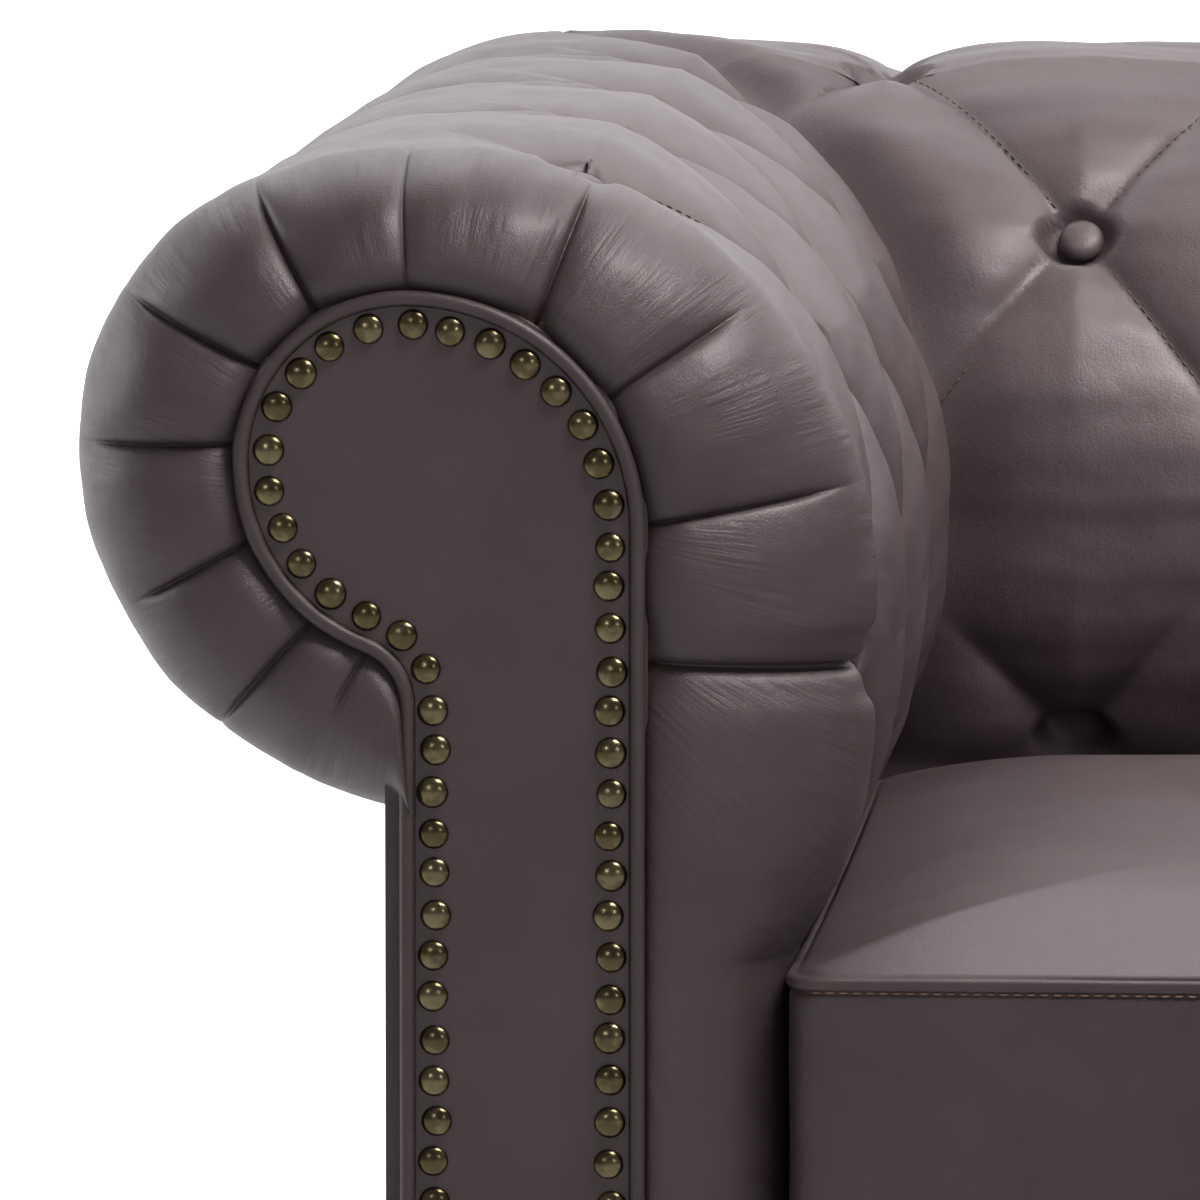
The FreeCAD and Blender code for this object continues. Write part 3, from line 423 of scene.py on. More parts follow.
def corner_points(step):
    """The rounded corner between an arm's roll and the back's, by ring point and turn round the corner."""
    turns = np.linspace(ROLL_FOOT, 90, int(376 / step / 1.5))
    fans = np.radians(np.linspace(0, 90, int(190 / step / 1.5)))
    ring = polar(0, 0, 1, turns)
    out, up = -ring[:, 0][:, None], ring[:, 1][:, None]
    run = np.radians(turns)[:, None] * ROLL[2]
    edge = np.minimum(fans, math.pi / 2 - fans)[None, :] * np.maximum(out, 0.05) * ROLL[2]
    folds = np.zeros((len(turns), len(fans)))
    for spot, deep, low in ((0.28, 4.5, 150), (0.52, 6.5, 165), (0.76, 4.5, 150)):
        gap = np.abs(fans[None, :] - spot * math.pi / 2) * np.maximum(out, 0.2) * ROLL[2]
        folds = np.maximum(folds, deep * np.exp(-gap / 7) * smooth(low, 95, turns)[:, None])
    waves = ripples(run, fans[None, :] * 90, 60, 60) * 0.7
    lift = (waves - folds) * smooth(0, 14, edge) - 1.2 * (1 - smooth(0, 4, edge))
    radius = ROLL[2] + lift
    reach = np.maximum(out, 0) * radius
    a = ROLL[0] - reach * np.cos(fans)[None, :]
    y = ROLL_END + reach * np.sin(fans)[None, :]
    z = ROLL[1] + up * radius + 0 * fans[None, :]
    return np.stack([a, y, z], axis=-1)


# Seat cushions: place along the depth, corner radius, and levels from the bottom up as (height, inset)
CUSHION_FRONT, CUSHION_BACK = FRONT + 8.0, FRONT + 618.5
CUSHION_HALF = np.array([269.5, (CUSHION_BACK - CUSHION_FRONT) / 2])
CUSHION_RADIUS = 14.0
CUSHION_FLOOR = SEAM - 140
CUSHION_LOWER = [(0.0, 60.0), (0.0, 20.0), (0.6, 8.0), (4.0, 2.0), (10.0, 0.0)]
CUSHION_LOWER += [(height, 0.0) for height in np.linspace(20, 132, 26)]
CUSHION_LOWER += [(133.4, 0.4), (134.4, 1.7), (135.1, 0.5), (136.0, -0.8), (137.5, -1.3), (139.0, -1.4),
                  (139.8, -1.0), (140.3, 0.2), (140.1, 1.6), (140.0, 2.6)]
CUSHION_TOP = [(141.0, inset) for inset in [*np.linspace(3.5, 40, 16), *np.linspace(45, 262, 44)]]


def cushion_points(centre, step):
    """A seat cushion's surface: levels of a rounded rectangle with drawn-in sides under a crowned top."""
    place = np.array([centre, (CUSHION_FRONT + CUSHION_BACK) / 2])
    turn = np.linspace(0, 2 * math.pi, int(4 * 550 / step), endpoint=False)
    corner = np.stack([np.cos(turn), np.sin(turn)], axis=-1)
    box = corner / np.max(np.abs(corner), axis=1)[:, None]
    levels = []
    for height, inset in CUSHION_LOWER + CUSHION_TOP:
        reach = CUSHION_HALF - inset
        radius = min(CUSHION_RADIUS + 0.25 * max(inset, 0), *reach)
        core = reach - radius
        straight = np.clip(box * reach, -core, core)
        rest = box * reach - straight
        length = np.maximum(np.linalg.norm(rest, axis=1), 1e-9)[:, None]
        spread = straight + np.where(length > 1e-6, rest / length * radius, 0)
        pull = 3.2 * (1 - np.clip(np.abs(straight) / np.maximum(core, 1), 0, 1) ** 2)
        pull = pull * (1.0 if height < CUSHION_TOP[0][0] else 0.4)
        on_side = np.abs(rest[:, 0]) >= np.abs(rest[:, 1])
        spread[:, 0] -= np.where(on_side, np.sign(spread[:, 0]) * pull[:, 1], 0)
        spread[:, 1] -= np.where(~on_side, np.sign(spread[:, 1]) * pull[:, 0], 0)
        levels.append(np.column_stack([place + spread, np.full(len(turn), CUSHION_FLOOR + height)]))
    points = np.array(levels)
    x, y, z = points[..., 0], points[..., 1], points[..., 2]
    inset = np.min(CUSHION_HALF - np.abs(points[..., :2] - place), axis=-1)
    rise = 1 - (1 - np.clip((inset - 2) / 163, 0, 1)) ** 2.2
    crown = SEAM + 0.2 + 27 * rise + rise * (ripples(x, y, 170, 170) * 0.8 + 0.6)
    points[len(CUSHION_LOWER):, :, 2] = crown[len(CUSHION_LOWER):]
    side = smooth(SEAM - 138, SEAM - 120, z) * (1 - smooth(SEAM - 12, SEAM - 3, z))
    swell = side * (ripples(x + y, z, 260, 110) * 0.4 + 0.1)
    away = (points[..., :2] - place) / CUSHION_HALF
    points[..., :2] += np.sign(away) * (np.abs(away) > 0.93) * swell[..., None]
    return points


# Meshes

def grid_faces(rows, columns, closed=False):
    """Four-sided faces between the points of a grid, and from its last column to its first if closed."""
    index = np.arange(rows * columns).reshape(rows, columns)
    if closed:
        index = np.concatenate([index, index[:, :1]], axis=1)
    return np.stack([index[:-1, :-1], index[:-1, 1:], index[1:, 1:], index[1:, :-1]], axis=-1).reshape(-1, 4)


def capped_faces(rows, columns):
    """Faces of a closed grid with one more over each end."""
    first = list(range(columns))
    last = [(rows - 1) * columns + index for index in first]
    return [*grid_faces(rows, columns, closed=True).tolist(), first[::-1], last]


def turned(profile, sides, x=0.0, y=0.0):
    """Points and faces of a form turned about an upright axis, from (radius, height) points."""
    turn = np.linspace(0, 2 * math.pi, sides, endpoint=False)
    rings = np.array([[(x + r * math.cos(t), y + r * math.sin(t), h) for t in turn] for r, h in profile])
    return rings, capped_faces(len(profile), sides)


def rounded_block(name, low, high, edge, material, nodes):
    """A leather-covered block with soft edges, from two corners in metres."""
    form = bmesh.new()
    bmesh.ops.create_cube(form, size=1.0)
    for vertex in form.verts:
        vertex.co = [(low[k] + high[k]) / 2 + vertex.co[k] * (high[k] - low[k]) for k in range(3)]
    bmesh.ops.bevel(form, geom=form.edges[:], offset=edge, segments=5, profile=0.5, affect="EDGES")
    mesh = bpy.data.meshes.new(name)
    form.to_mesh(mesh)
    form.free()
    return finished(name, mesh, material, nodes)


def mesh_piece(name, points, faces, material, nodes=(), body=SOFA):
    """A finished piece from points in millimetres. It rides on a body and stands for CAD nodes."""
    mesh = bpy.data.meshes.new(name)
    mesh.from_pydata((points.reshape(-1, 3) * MM).tolist(), [], [list(face) for face in faces])
    mesh.update()
    return finished(name, mesh, material, nodes, body)


def finished(name, mesh, material, nodes=(), body=SOFA):
    """The piece of a mesh, smooth shaded, with its material, on its body, and with the CAD nodes that it
    replaces hidden.
    """
    mesh.materials.clear()
    mesh.materials.append(material)
    mesh.shade_smooth()
    piece = bpy.data.objects.new(name, mesh)
    bpy.context.scene.collection.objects.link(piece)
    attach(piece, body)
    if nodes:
        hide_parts(*nodes)
    return piece


def left_arm(points):
    """The frame's places of points given by distance inwards, distance behind the facing and height."""
    return np.stack([points[..., 0] - HALF_WIDTH, FRONT + points[..., 1], points[..., 2]], axis=-1)


def both_sides(name, points, faces, material, node=None):
    """A piece of the left arm and its mirror on the right one."""
    for side, sign in SIDES:
        nodes = [f"{node}_{side}"] if node else ()
        mesh_piece(f"{name}_{side}", points * np.array([sign, 1, 1]), faces[:, ::sign], material,
                   nodes)


def instanced(name, spots, out, run, head, material, nodes=(), spread=0.0, body=SOFA):
    """Copies of a head on points, each with its outward direction and its run, as one plain mesh."""
    seat = bpy.data.meshes.new(name + "_spots")
    seat.from_pydata((spots * MM).tolist(), [], [])
    for label, values in (("out", out), ("run", run)):
        layer = seat.attributes.new(label, "FLOAT_VECTOR", "POINT")
        layer.data.foreach_set("vector", np.broadcast_to(np.asarray(values, np.float32), spots.shape).ravel())
    carrier = bpy.data.objects.new(name + "_spots", seat)
    bpy.context.scene.collection.objects.link(carrier)
    tree = bpy.data.node_groups.new(name + "_copies", "GeometryNodeTree")
    for label, kind in (("Spots", "NodeSocketGeometry"), ("Head", "NodeSocketObject"),
                        ("Finish", "NodeSocketMaterial"), ("Spread", "NodeSocketFloat")):
        tree.interface.new_socket(label, in_out="INPUT", socket_type=kind)
    tree.interface.new_socket("Copies", in_out="OUTPUT", socket_type="NodeSocketGeometry")

    def node(kind, **settings):
        made = tree.nodes.new(kind)
        for key, value in settings.items():
            setattr(made, key, value)
        return made

    start, end = node("NodeGroupInput"), node("NodeGroupOutput")
    link = tree.links.new
    source = node("GeometryNodeObjectInfo")
    link(start.outputs["Head"], source.inputs["Object"])
    rotation = None
    for label, axis, pivot in (("out", "Z", "AUTO"), ("run", "X", "Z")):
        named = node("GeometryNodeInputNamedAttribute", data_type="FLOAT_VECTOR")
        named.inputs["Name"].default_value = label
        align = node("FunctionNodeAlignRotationToVector", axis=axis, pivot_axis=pivot)
        link(named.outputs["Attribute"], align.inputs["Vector"])
        if rotation:
            link(rotation, align.inputs["Rotation"])
        rotation = align.outputs["Rotation"]
    chance = node("FunctionNodeRandomValue", data_type="FLOAT")
    chance.inputs["Seed"].default_value = 5
    for place, operation in ((2, "SUBTRACT"), (3, "ADD")):
        limit = node("ShaderNodeMath", operation=operation)
        limit.inputs[0].default_value = 1.0
        link(start.outputs["Spread"], limit.inputs[1])
        link(limit.outputs[0], chance.inputs[place])
    copies = node("GeometryNodeInstanceOnPoints")
    link(start.outputs["Spots"], copies.inputs["Points"])
    link(source.outputs["Geometry"], copies.inputs["Instance"])
    link(rotation, copies.inputs["Rotation"])
    link(chance.outputs[1], copies.inputs["Scale"])
    real = node("GeometryNodeRealizeInstances")
    link(copies.outputs["Instances"], real.inputs["Geometry"])
    coat = node("GeometryNodeSetMaterial")
    link(real.outputs["Geometry"], coat.inputs["Geometry"])
    link(start.outputs["Finish"], coat.inputs["Material"])
    link(coat.outputs["Geometry"], end.inputs["Copies"])
    modifier = carrier.modifiers.new("copies", "NODES")
    modifier.node_group = tree
    values = {"Head": head, "Finish": material, "Spread": spread}
    for socket in tree.interface.items_tree:
        if socket.name in values:
            modifier[socket.identifier] = values[socket.name]
    bpy.context.view_layer.update()
    graph = bpy.context.evaluated_depsgraph_get()
    mesh = bpy.data.meshes.new_from_object(carrier.evaluated_get(graph))
    bpy.data.objects.remove(carrier)
    bpy.data.objects.remove(head)
    return finished(name, mesh, material, nodes, body)


def lathe(name, profile, sides):
    """A turned head about its own Z axis, from (radius, height) points in millimetres."""
    rings, faces = turned(profile, sides)
    mesh = bpy.data.meshes.new(name)
    mesh.from_pydata((rings.reshape(-1, 3) * MM).tolist(), [], faces)
    mesh.update()
    mesh.shade_smooth()
    head = bpy.data.objects.new(name, mesh)
    bpy.context.scene.collection.objects.link(head)
    return head


# Shaders

class Sock:
    """A shader socket that takes part in arithmetic."""

    def __init__(self, tree, socket):
        self.tree, self.socket = tree, socket

    def node(self, kind, output=0, settings=(), **inputs):
        """An output of a new node with its inputs fed. Names such as i0 and i1 count the inputs."""
        made = self.tree.nodes.new(kind)
        for key, value in dict(settings).items():
            setattr(made, key, value)
        for key, value in inputs.items():
            place = int(key[1:]) if key[0] == "i" and key[1:].isdigit() else key.replace("_", " ")
            self.feed(made.inputs[place], value)
        return Sock(self.tree, made.outputs[output])

    def feed(self, place, value):
        if isinstance(value, Sock):
            self.tree.links.new(value.socket, place)
        else:
            place.default_value = value

    def math(self, operation, other=0.0):
        return self.node("ShaderNodeMath", settings={"operation": operation}, i0=self, i1=other)

    def __add__(self, other):
        return self.math("ADD", other)

    def __radd__(self, other):
        return self.math("ADD", other)

    def __sub__(self, other):
        return self.math("SUBTRACT", other)

    def __mul__(self, other):
        return self.math("MULTIPLY", other)

    def between(self, low, high, start=0.0, end=1.0):
        """This value taken smoothly from one range to another."""
        return self.node("ShaderNodeMapRange", settings={"interpolation_type": "SMOOTHSTEP"}, i0=self,
                         i1=low, i2=high, i3=start, i4=end)

    def blend(self, first, second):
        """The mix of two colours with this value as the share of the second."""
        made = self.tree.nodes.new("ShaderNodeMix")
        made.data_type = "RGBA"
        for place, value in ((0, self), (6, first), (7, second)):
            self.feed(made.inputs[place], value)
        return Sock(self.tree, made.outputs[2])


class Finish:
    """A material with its coordinates, its surface and the sockets to build on."""

    def __init__(self, name, **values):
        self.material = bpy.data.materials.new(name)
        self.material.use_nodes = True
        self.tree = self.material.node_tree
        self.surface = self.tree.nodes["Principled BSDF"]
        for key, value in values.items():
            self.surface.inputs[key.replace("_", " ")].default_value = value
        places = self.tree.nodes.new("ShaderNodeTexCoord")
        self.place = Sock(self.tree, places.outputs["Object"])

    def noise(self, scale, detail=2.0, rough=0.5, stretch=None):
        place = self.place
        if stretch:
            place = place.node("ShaderNodeVectorMath", settings={"operation": "MULTIPLY"}, i0=place,
                               i1=stretch)
        return place.node("ShaderNodeTexNoise", 0, Vector=place, Scale=scale, Detail=detail, Roughness=rough)

    def cells(self, scale):
        """Distance to the nearest edge between small cells."""
        return self.place.node("ShaderNodeTexVoronoi", 0, settings={"feature": "DISTANCE_TO_EDGE"},
                               Vector=self.place, Scale=scale)

    def set(self, **values):
        for key, value in values.items():
            self.place.feed(self.surface.inputs[key.replace("_", " ")], value)

    def bump(self, height, strength, distance):
        made = self.place.node("ShaderNodeBump", 0, Height=height, Strength=strength, Distance=distance)
        self.set(Normal=made)


def leather(name, dark, light, wrinkle=1.0, radial=False):
    """Smooth grained leather: pores, fine creases and uneven dye. Radial ones run out from the scroll."""
    finish = Finish(name, IOR=1.48)
    cloud = finish.noise(7.0, 4.0, 0.6)
    patch = finish.noise(31.0, 3.0, 0.6)
    pores = finish.cells(620.0)
    crease = finish.noise(150.0, 3.0, 0.6, (1.0, 0.35, 0.6))
    if radial:
        x, y, z = (finish.place.node("ShaderNodeSeparateXYZ", axis, Vector=finish.place) for axis in range(3))
        across, rise = x.math("ABSOLUTE") - (HALF_WIDTH - 136) * MM, z - 0.615
        spoke = finish.place.node("ShaderNodeCombineXYZ", 0, X=across.math("ARCTAN2", rise) * 34.0,
                                  Y=(across * across + rise * rise).math("SQRT") * 16.0, Z=y * 16.0)
        lines = finish.place.node("ShaderNodeTexNoise", 0, Vector=spoke, Scale=1.0, Detail=3.0, Roughness=0.6)
        front = y.between((FRONT + 45) * MM, (FRONT + 70) * MM, 1.0, 0.0)
        crease = crease + front * patch.between(0.42, 0.6) * (lines - 0.5) * 3.4
    shade = cloud.between(0.3, 0.7) * 0.6 + patch.between(0.3, 0.7) * 0.4
    finish.set(Base_Color=shade.blend(dark, light))
    finish.set(Roughness=0.5 + (patch - 0.5) * 0.10 + (crease - 0.5) * 0.08)
    finish.set(Coat_Weight=0.06, Coat_Roughness=0.3, Specular_Tint=(1.0, 0.88, 0.895, 1))
    finish.bump(pores.between(0.0, 0.14) * 0.16 + crease * wrinkle, 0.3, 0.0011)
    return finish.material


def plain(name, colour, roughness, grain=300.0):
    """One colour with a fine grain: thread, plastic, cloth, webbing and foam."""
    finish = Finish(name)
    speck = finish.noise(grain, 3.0)
    finish.set(Base_Color=speck.between(0.3, 0.7).blend([c * 0.8 for c in colour[:3]] + [1.0], colour))
    finish.set(Roughness=roughness + (speck - 0.5) * 0.1)
    finish.bump(speck, 0.3, 0.0004)
    return finish.material


def aged_brass():
    """Dull brass of the nail heads, uneven in tone and darkly specked."""
    finish = Finish("aged_brass", Metallic=1.0)
    patch = finish.noise(95.0, 3.0, 0.6)
    speck = finish.noise(420.0, 4.0, 0.65)
    worn = patch.between(0.42, 0.6).blend((0.085, 0.067, 0.035, 1), (0.15, 0.125, 0.07, 1))
    finish.set(Base_Color=speck.between(0.62, 0.8).blend(worn, (0.05, 0.03, 0.02, 1)))
    finish.set(Roughness=0.16 + speck * 0.16)
    finish.bump(speck, 0.12, 0.0004)
    return finish.material


def wood(name, dark, light, gloss):
    """Wood with its grain upright, from a dark and a light colour."""
    finish = Finish(name)
    rings = finish.noise(60.0, 5.0, 0.6, (1.0, 1.0, 0.12))
    finish.set(Base_Color=rings.between(0.35, 0.65).blend(dark, light))
    finish.set(Roughness=gloss + rings * 0.12)
    finish.bump(rings, 0.2, 0.0005)
    return finish.material


LEATHER = leather("sofa_leather", (0.035, 0.0235, 0.0245, 1), (0.050, 0.0365, 0.0380, 1), 1.0, True)
SMOOTH_LEATHER = leather("panel_leather", (0.035, 0.0235, 0.0245, 1), (0.049, 0.0355, 0.0370, 1), 0.4)
CUSHION_LEATHER = leather("cushion_leather", (0.035, 0.0235, 0.0245, 1), (0.050, 0.0365, 0.0380, 1), 0.5)
# Painted shade: the welt leather is the sofa's leather made darker, for the piping and for the edge turned in
# under it
SHADED_WELT_LEATHER = leather("welt_leather", (0.030, 0.0200, 0.0210, 1), (0.041, 0.0295, 0.0305, 1), 0.5)
BRASS = aged_brass()
TAN_THREAD = plain("tan_thread", (0.23, 0.125, 0.075, 1), 0.6)
DARK_THREAD = plain("dark_thread", (0.035, 0.022, 0.02, 1), 0.6)
MAHOGANY = wood("foot_mahogany", (0.022, 0.010, 0.007, 1), (0.05, 0.022, 0.013, 1), 0.3)
BLACK_PLASTIC = plain("glide_plastic", (0.02, 0.02, 0.02, 1), 0.6)
PINE = wood("frame_timber", (0.36, 0.24, 0.13, 1), (0.5, 0.35, 0.2, 1), 0.6)
BIRCH = wood("plywood", (0.45, 0.33, 0.2, 1), (0.58, 0.45, 0.29, 1), 0.6)
CLOTH = plain("black_cloth", (0.012, 0.012, 0.013, 1), 0.9, grain=900.0)
WEBBING = plain("webbing_weave", (0.09, 0.07, 0.06, 1), 0.85, grain=700.0)
FOAM = plain("foam", (0.62, 0.57, 0.43, 1), 0.95, grain=500.0)

FINISHES = {"foam": FOAM, "webbing": WEBBING, "black_cloth": CLOTH, "plywood": BIRCH, "frame_wood": PINE,
            "foot_wood": MAHOGANY, "glide_plastic": BLACK_PLASTIC, "antique_brass": BRASS}
SLOTS = {entry["node"]: entry["material_slot"] for entry in frame["record"]["subparts"]}
for node_name, node_object in frame["nodes"].items():
    node_object.data.materials.clear()
    node_object.data.materials.append(FINISHES.get(SLOTS[node_name], SMOOTH_LEATHER))

STEP = 2.0

# Arms, corners and back
arm = left_arm(arm_points(STEP))
arm_faces = grid_faces(*arm.shape[:2])
corner = left_arm(corner_points(STEP))
corner_faces = grid_faces(*corner.shape[:2])
for side, sign in SIDES:
    mirror = np.array([sign, 1, 1])
    padding = mesh_piece(f"arm_padding_{side}", arm * mirror, arm_faces[:, ::sign], LEATHER,
                         [f"arm_pad_{side}"])
    rounded = mesh_piece(f"corner_padding_{side}", corner * mirror, corner_faces[:, ::sign], LEATHER,
                         [f"corner_pad_{side}"])
back = back_points(STEP)
back = np.stack([back[..., 1], REAR - back[..., 0], back[..., 2]], axis=-1)
padding = mesh_piece("back_padding", back, grid_faces(*back.shape[:2]), LEATHER,
                     ["back_pad"])

# Seat cushions
for label, centre in CUSHIONS:
    shell = cushion_points(centre, 4.5)
    cover = mesh_piece(f"seat_cushion_{label}_cover", shell, capped_faces(*shell.shape[:2]), CUSHION_LEATHER,
                       [f"cushion_cover_{label}", f"cushion_core_{label}"],
                       f"seat_cushion_{label}")

# Welts round the facings, in a darker copy of the leather: painted shade
centre_line, ahead = along(scroll_path(0.0, BASE), 420)
outward = np.stack([-ahead[:, 1], ahead[:, 0]], axis=-1)


def beside_welt(out, behind):
    """The welt's centre line moved out by a distance, at a distance behind the facing's front."""
    moved = centre_line + outward * out
    return np.stack([moved[:, 0], np.full(len(moved), behind), moved[:, 1]], axis=-1)


tube = [beside_welt(WELT * math.cos(angle), -0.4 - WELT * math.sin(angle))
        for angle in np.linspace(0, 2 * math.pi, 14, endpoint=False)]
tube = left_arm(np.stack(tube, axis=1))
tube_faces = grid_faces(*tube.shape[:2], closed=True)
both_sides("arm_piping", tube, tube_faces, SHADED_WELT_LEATHER, "arm_welt")

# Leather turned in round the edge of each scroll board, under the piping, in the darker welt leather: painted
# shade
edge = [beside_welt(out, behind) for out, behind in ((-1.0, 3.6), (1.5, 3.6), (3.6, 3.6), (3.8, 3.9))]
edge = left_arm(np.stack(edge, axis=1))
both_sides("scroll_edge", edge, grid_faces(*edge.shape[:2]), SHADED_WELT_LEATHER)

# Front border, carried on behind the arms' rounded fronts
low, high = (list(corner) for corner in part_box("front_border"))
low[0], high[0] = low[0] - 0.006, high[0] + 0.006
border = rounded_block("front_border_cover", low, high, 0.006, SMOOTH_LEATHER,
                       ["front_border"])

# Brass nails, a little uneven in place and lean
NAIL_PROFILE = [(6.15 * math.cos(t), 3.3 * math.sin(t)) for t in np.linspace(0, 1.5, 7)]
nails, _ = along(scroll_path(-10.4, BASE + 10.4), 80)
nails = nails + RANDOM.normal(0, 0.45, nails.shape)
nails = left_arm(np.stack([nails[:, 0], np.full(len(nails), 0.1), nails[:, 1]], axis=-1))
for side, sign in SIDES:
    lean = RANDOM.normal(0, 0.06, nails.shape) + np.array([0, -1, 0])
    instanced(f"arm_brass_nails_{side}", nails * np.array([sign, 1, 1]), lean, [1, 0, 0],
              lathe("nail_head", NAIL_PROFILE, 20), BRASS, [f"arm_nails_{side}"], 0.04)


def button_spots(count, skip_ends, pitch, start, rise=0.0):
    """For each button its place in the section and along it, and its outward direction in the section."""
    found = []
    whole = range(1 if skip_ends else 0, count)
    for row in (0.0, 0.5, 1.0):
        for u in [index + 0.5 for index in range(count)] if row == 0.5 else whole:
            rows = np.array(row + rise)
            crest, normal = crest_line(rows), crest_normal(rows)
            seat = crest - normal * (TUFT_DEPTH - 4.5)
            found.append((seat[0], start + u * pitch, seat[1], normal[0], normal[1]))
    return np.array(found)


BUTTON_PROFILE = [(9.3, 0.0), (9.75, 1.6), (9.5, 3.4), (8.4, 5.1), (6.4, 6.2), (3.6, 6.8), (1.0, 7.0)]
found = button_spots(3, False, ARM_PITCH, FIRST_TUFT)
for side, sign in SIDES:
    spots = left_arm(found[:, :3]) * np.array([sign, 1, 1])
    out = np.stack([found[:, 3] * sign, np.zeros(len(found)), found[:, 4]], axis=-1)
    instanced(f"arm_covered_buttons_{side}", spots, out, [0, 1, 0], lathe("button_head", BUTTON_PROFILE, 28),
              LEATHER, [f"arm_buttons_{side}"], 0.02)
found = button_spots(9, True, BACK_PITCH, -HALF_SPAN, BACK_RAISE)
spots = np.stack([found[:, 1], REAR - found[:, 0], found[:, 2]], axis=-1)
out = np.stack([np.zeros(len(found)), -found[:, 3], found[:, 4]], axis=-1)
instanced("back_covered_buttons", spots, out, [1, 0, 0], lathe("button_head", BUTTON_PROFILE, 28), LEATHER,
          ["back_buttons"], 0.02)


def seam_stitches(first, count, pitch, start, rise=0.0):
    """Places, outward directions and runs of the stitches on the sewn lines between tufts."""
    shares = np.linspace(0.14, 0.86, 22)
    spots, outs, runs = [], [], []
    for number in np.arange(first, first + count, 0.5):
        top = 1.0 if float(number).is_integer() else 0.5
        for step in (-0.5, 0.5):
            rows, u = top - 0.5 * shares, number + step * shares
            if u.min() < first or u.max() > first + count - 0.5:
                continue
            crest, normal = crest_line(rows + rise), crest_normal(rows + rise)
            seat = crest - normal * (tuft_sink(u, rows) - 0.3)[:, None]
            line = np.stack([seat[:, 0], start + u * pitch, seat[:, 1]], axis=-1)
            spots.append(line)
            outs.append(np.stack([normal[:, 0], 0 * u, normal[:, 1]], axis=-1))
            runs.append(np.gradient(line, axis=0))
    return np.concatenate(spots), np.concatenate(outs), np.concatenate(runs)


STITCH_PROFILE = [(0.1, -1.6), (0.45, -1.0), (0.45, 1.0), (0.1, 1.6)]


def laid_stitch(name):
    """A stitch that lies along its own X axis."""
    head = lathe(name, STITCH_PROFILE, 6)
    head.data.transform(Matrix.Rotation(math.pi / 2, 4, "Y"))
    return head


places, outs, runs = seam_stitches(0, 3, ARM_PITCH, FIRST_TUFT)
for side, sign in SIDES:
    mirror = np.array([sign, 1, 1])
    instanced(f"arm_seam_stitches_{side}", left_arm(places) * mirror, outs * mirror, runs * mirror,
              laid_stitch("seam_stitch"), DARK_THREAD)
places, outs, runs = seam_stitches(0, 9.5, BACK_PITCH, -HALF_SPAN, BACK_RAISE)
places = np.stack([places[:, 1], REAR - places[:, 0], places[:, 2]], axis=-1)
outs, runs = (np.stack([way[:, 1], -way[:, 0], way[:, 2]], axis=-1) for way in (outs, runs))
instanced("back_seam_stitches", places, outs, runs, laid_stitch("seam_stitch"), DARK_THREAD)

# Tan stitches along the cushions' front seams, which are drawn in towards the middle
for label, centre in CUSHIONS:
    x = np.arange(centre - 258, centre + 259, 5.2)
    drawn_in = 1.6 * np.maximum(1 - ((x - centre) / 255.5) ** 2, 0)
    spots = np.stack([x, CUSHION_FRONT + drawn_in + 0.9, np.full(len(x), SEAM - 5.5)], axis=-1)
    instanced(f"cushion_stitches_{label}", spots, [0, -1, 0], [1, 0, 0], laid_stitch("cushion_stitch"),
              TAN_THREAD, spread=0.08, body=f"seat_cushion_{label}")

# Turned feet
FOOT_TURNING = [(22, 5), (28, 7), (34, 12), (39, 20), (41.6, 30), (42, 40), (41, 50), (37.5, 59), (32, 66),
                (28.5, 70), (27.5, 73), (28, 76), (30, 78.5), (34.5, 80), (36, 82), (36, 86.5), (35.2, 88.8)]
for spot in ("front_left", "front_middle", "front_right", "back_left", "back_middle", "back_right"):
    low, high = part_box(f"foot_{spot}")
    x, y, _ = (np.array(low) + np.array(high)) / 2 / MM
    rings, faces = turned(FOOT_TURNING, 48, x, y)
    mesh_piece(f"turned_foot_{spot}", rings, faces, MAHOGANY, [f"foot_{spot}"])

# Studio: soft light from above and both sides, and a pale floor that sweeps up far behind
world = bpy.data.worlds.new("studio")
bpy.context.scene.world = world
world.use_nodes = True
world.node_tree.nodes["Background"].inputs["Color"].default_value = (1, 1, 1, 1)
world.node_tree.nodes["Background"].inputs["Strength"].default_value = 0.21


def area_light(name, place, target, width, length, power, spread=180):
    """A soft light at a place, turned to a target, with its size in metres, its watts and its spread."""
    lamp = bpy.data.lights.new(name, "AREA")
    lamp.shape = "RECTANGLE"
    lamp.size, lamp.size_y, lamp.energy, lamp.spread = width, length, power, math.radians(spread)
    holder = bpy.data.objects.new(name, lamp)
    holder.location = place
    holder.rotation_euler = (Vector(target) - Vector(place)).to_track_quat("-Z", "Y").to_euler()
    bpy.context.scene.collection.objects.link(holder)


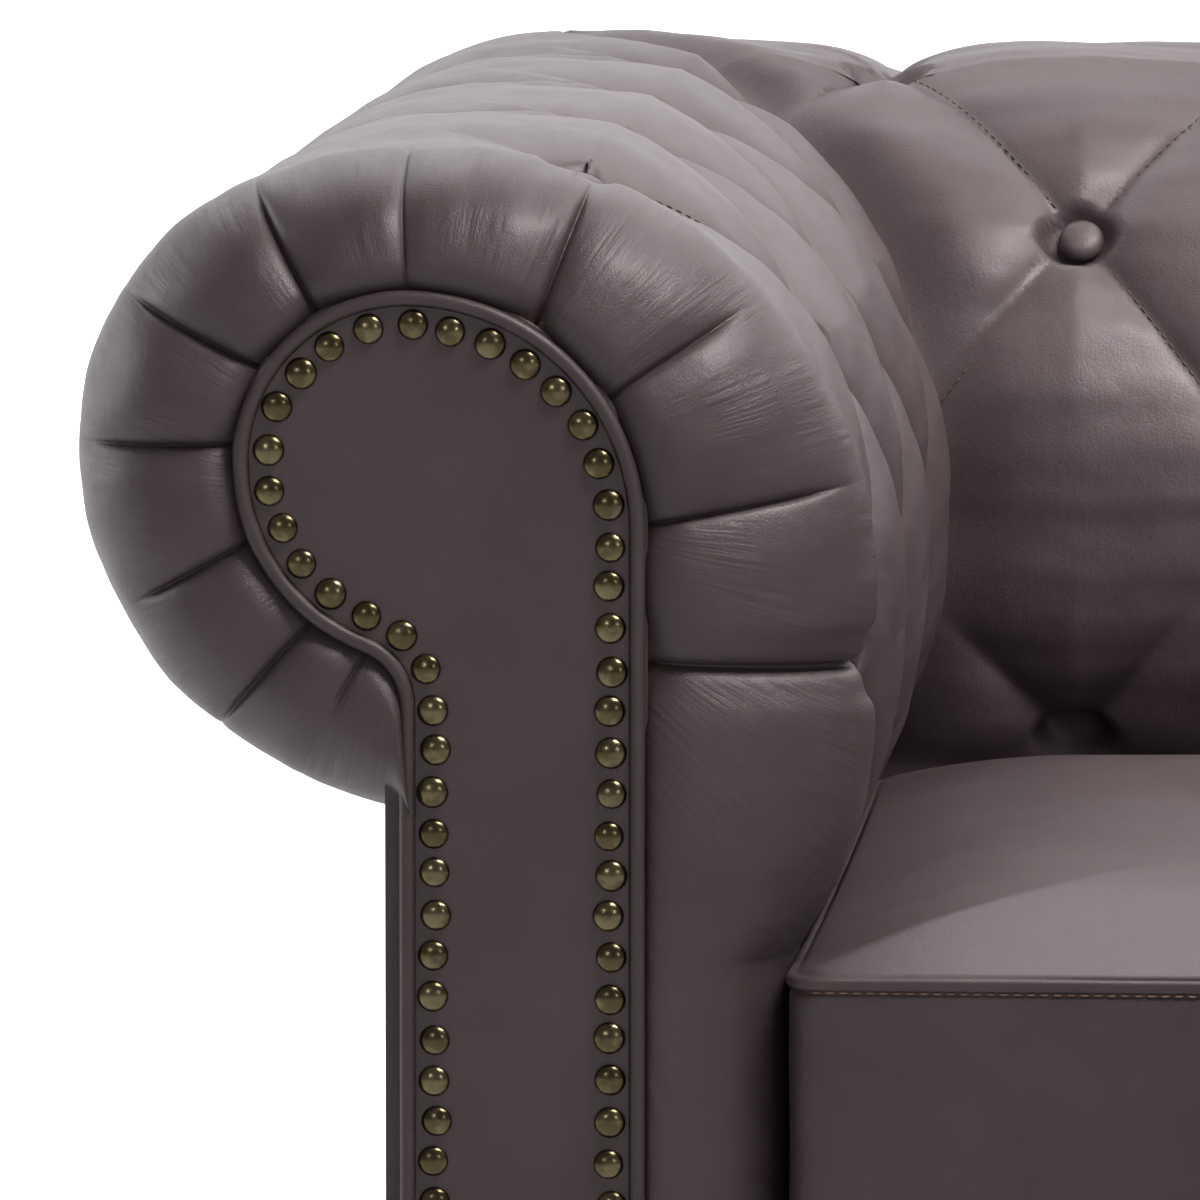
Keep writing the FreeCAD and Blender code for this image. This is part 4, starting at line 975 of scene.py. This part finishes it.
area_light("top_softbox", (-0.4, 0.75, 2.0), (-0.4, 0.35, 0.6), 3.0, 0.6, 29)
area_light("seat_light", (0.1, -0.35, 1.6), (-0.4, 0.3, 0.5), 1.6, 0.3, 14.5, 80)
area_light("left_softbox", (-4.0, 0.4, 1.5), (-1.0, -0.3, 0.6), 1.6, 1.8, 45)
area_light("left_front_box", (-2.3, -4.4, 1.9), (-0.8, -0.44, 0.5), 0.4, 0.5, 13)
area_light("right_front_box", (1.6, -4.4, 1.7), (-0.8, -0.44, 0.5), 0.4, 0.5, 13)

SWEEP_START, SWEEP_RADIUS, FLOOR_REACH, FLOOR_HALF_WIDTH, SWEEP_TOP = 30.0, 15.0, 54.0, 72.0, 48.0
bend = [(SWEEP_START + SWEEP_RADIUS * math.sin(turn), SWEEP_RADIUS * (1 - math.cos(turn)))
        for turn in np.linspace(0.1, 1.57, 12)]
sweep = [(-FLOOR_REACH, 0), (SWEEP_START, 0), *bend, (SWEEP_START + SWEEP_RADIUS, SWEEP_TOP)]
floor_points = [(x, y, z) for y, z in sweep for x in (-FLOOR_HALF_WIDTH, FLOOR_HALF_WIDTH)]
strips = [(2 * i, 2 * i + 1, 2 * i + 3, 2 * i + 2) for i in range(len(sweep) - 1)]
floor_mesh = bpy.data.meshes.new("studio_floor")
floor_mesh.from_pydata(floor_points, [], strips)
floor = bpy.data.objects.new("studio_floor", floor_mesh)

# The floor turns white behind the sofa, as in the photo
floor_finish = Finish("studio_white_painted_glow", Base_Color=(0.9, 0.9, 0.9, 1), Roughness=0.9, Emission_Strength=1.0)
behind = floor_finish.place.node("ShaderNodeSeparateXYZ", 1, Vector=floor_finish.place).between(0.7, 1.7)
# Painted glow: the floor's emission is dim grey in front of the sofa and brighter than white behind it
floor_finish.set(Emission_Color=behind.blend((0.24, 0.24, 0.24, 1), (1.15, 1.15, 1.15, 1)))
floor_mesh.materials.append(floor_finish.material)
bpy.context.scene.collection.objects.link(floor)

# Camera at the photograph's place: telephoto, in front of the left arm and a little above it
SHOT_DISTANCE = 4.27
shot = bpy.data.cameras.new("photo_camera")
shot.lens = 335.0
shot.sensor_width = 36.0
camera = bpy.data.objects.new("photo_camera", shot)
camera.location = ((547 - HALF_WIDTH) * MM, FRONT * MM - SHOT_DISTANCE, 1.059)
target = Vector(((201 - HALF_WIDTH) * MM, FRONT * MM, 0.578))
camera.rotation_euler = (target - camera.location).to_track_quat("-Z", "Y").to_euler()
bpy.context.scene.collection.objects.link(camera)
bpy.context.scene.camera = camera
bpy.context.scene.view_settings.view_transform = "Standard"
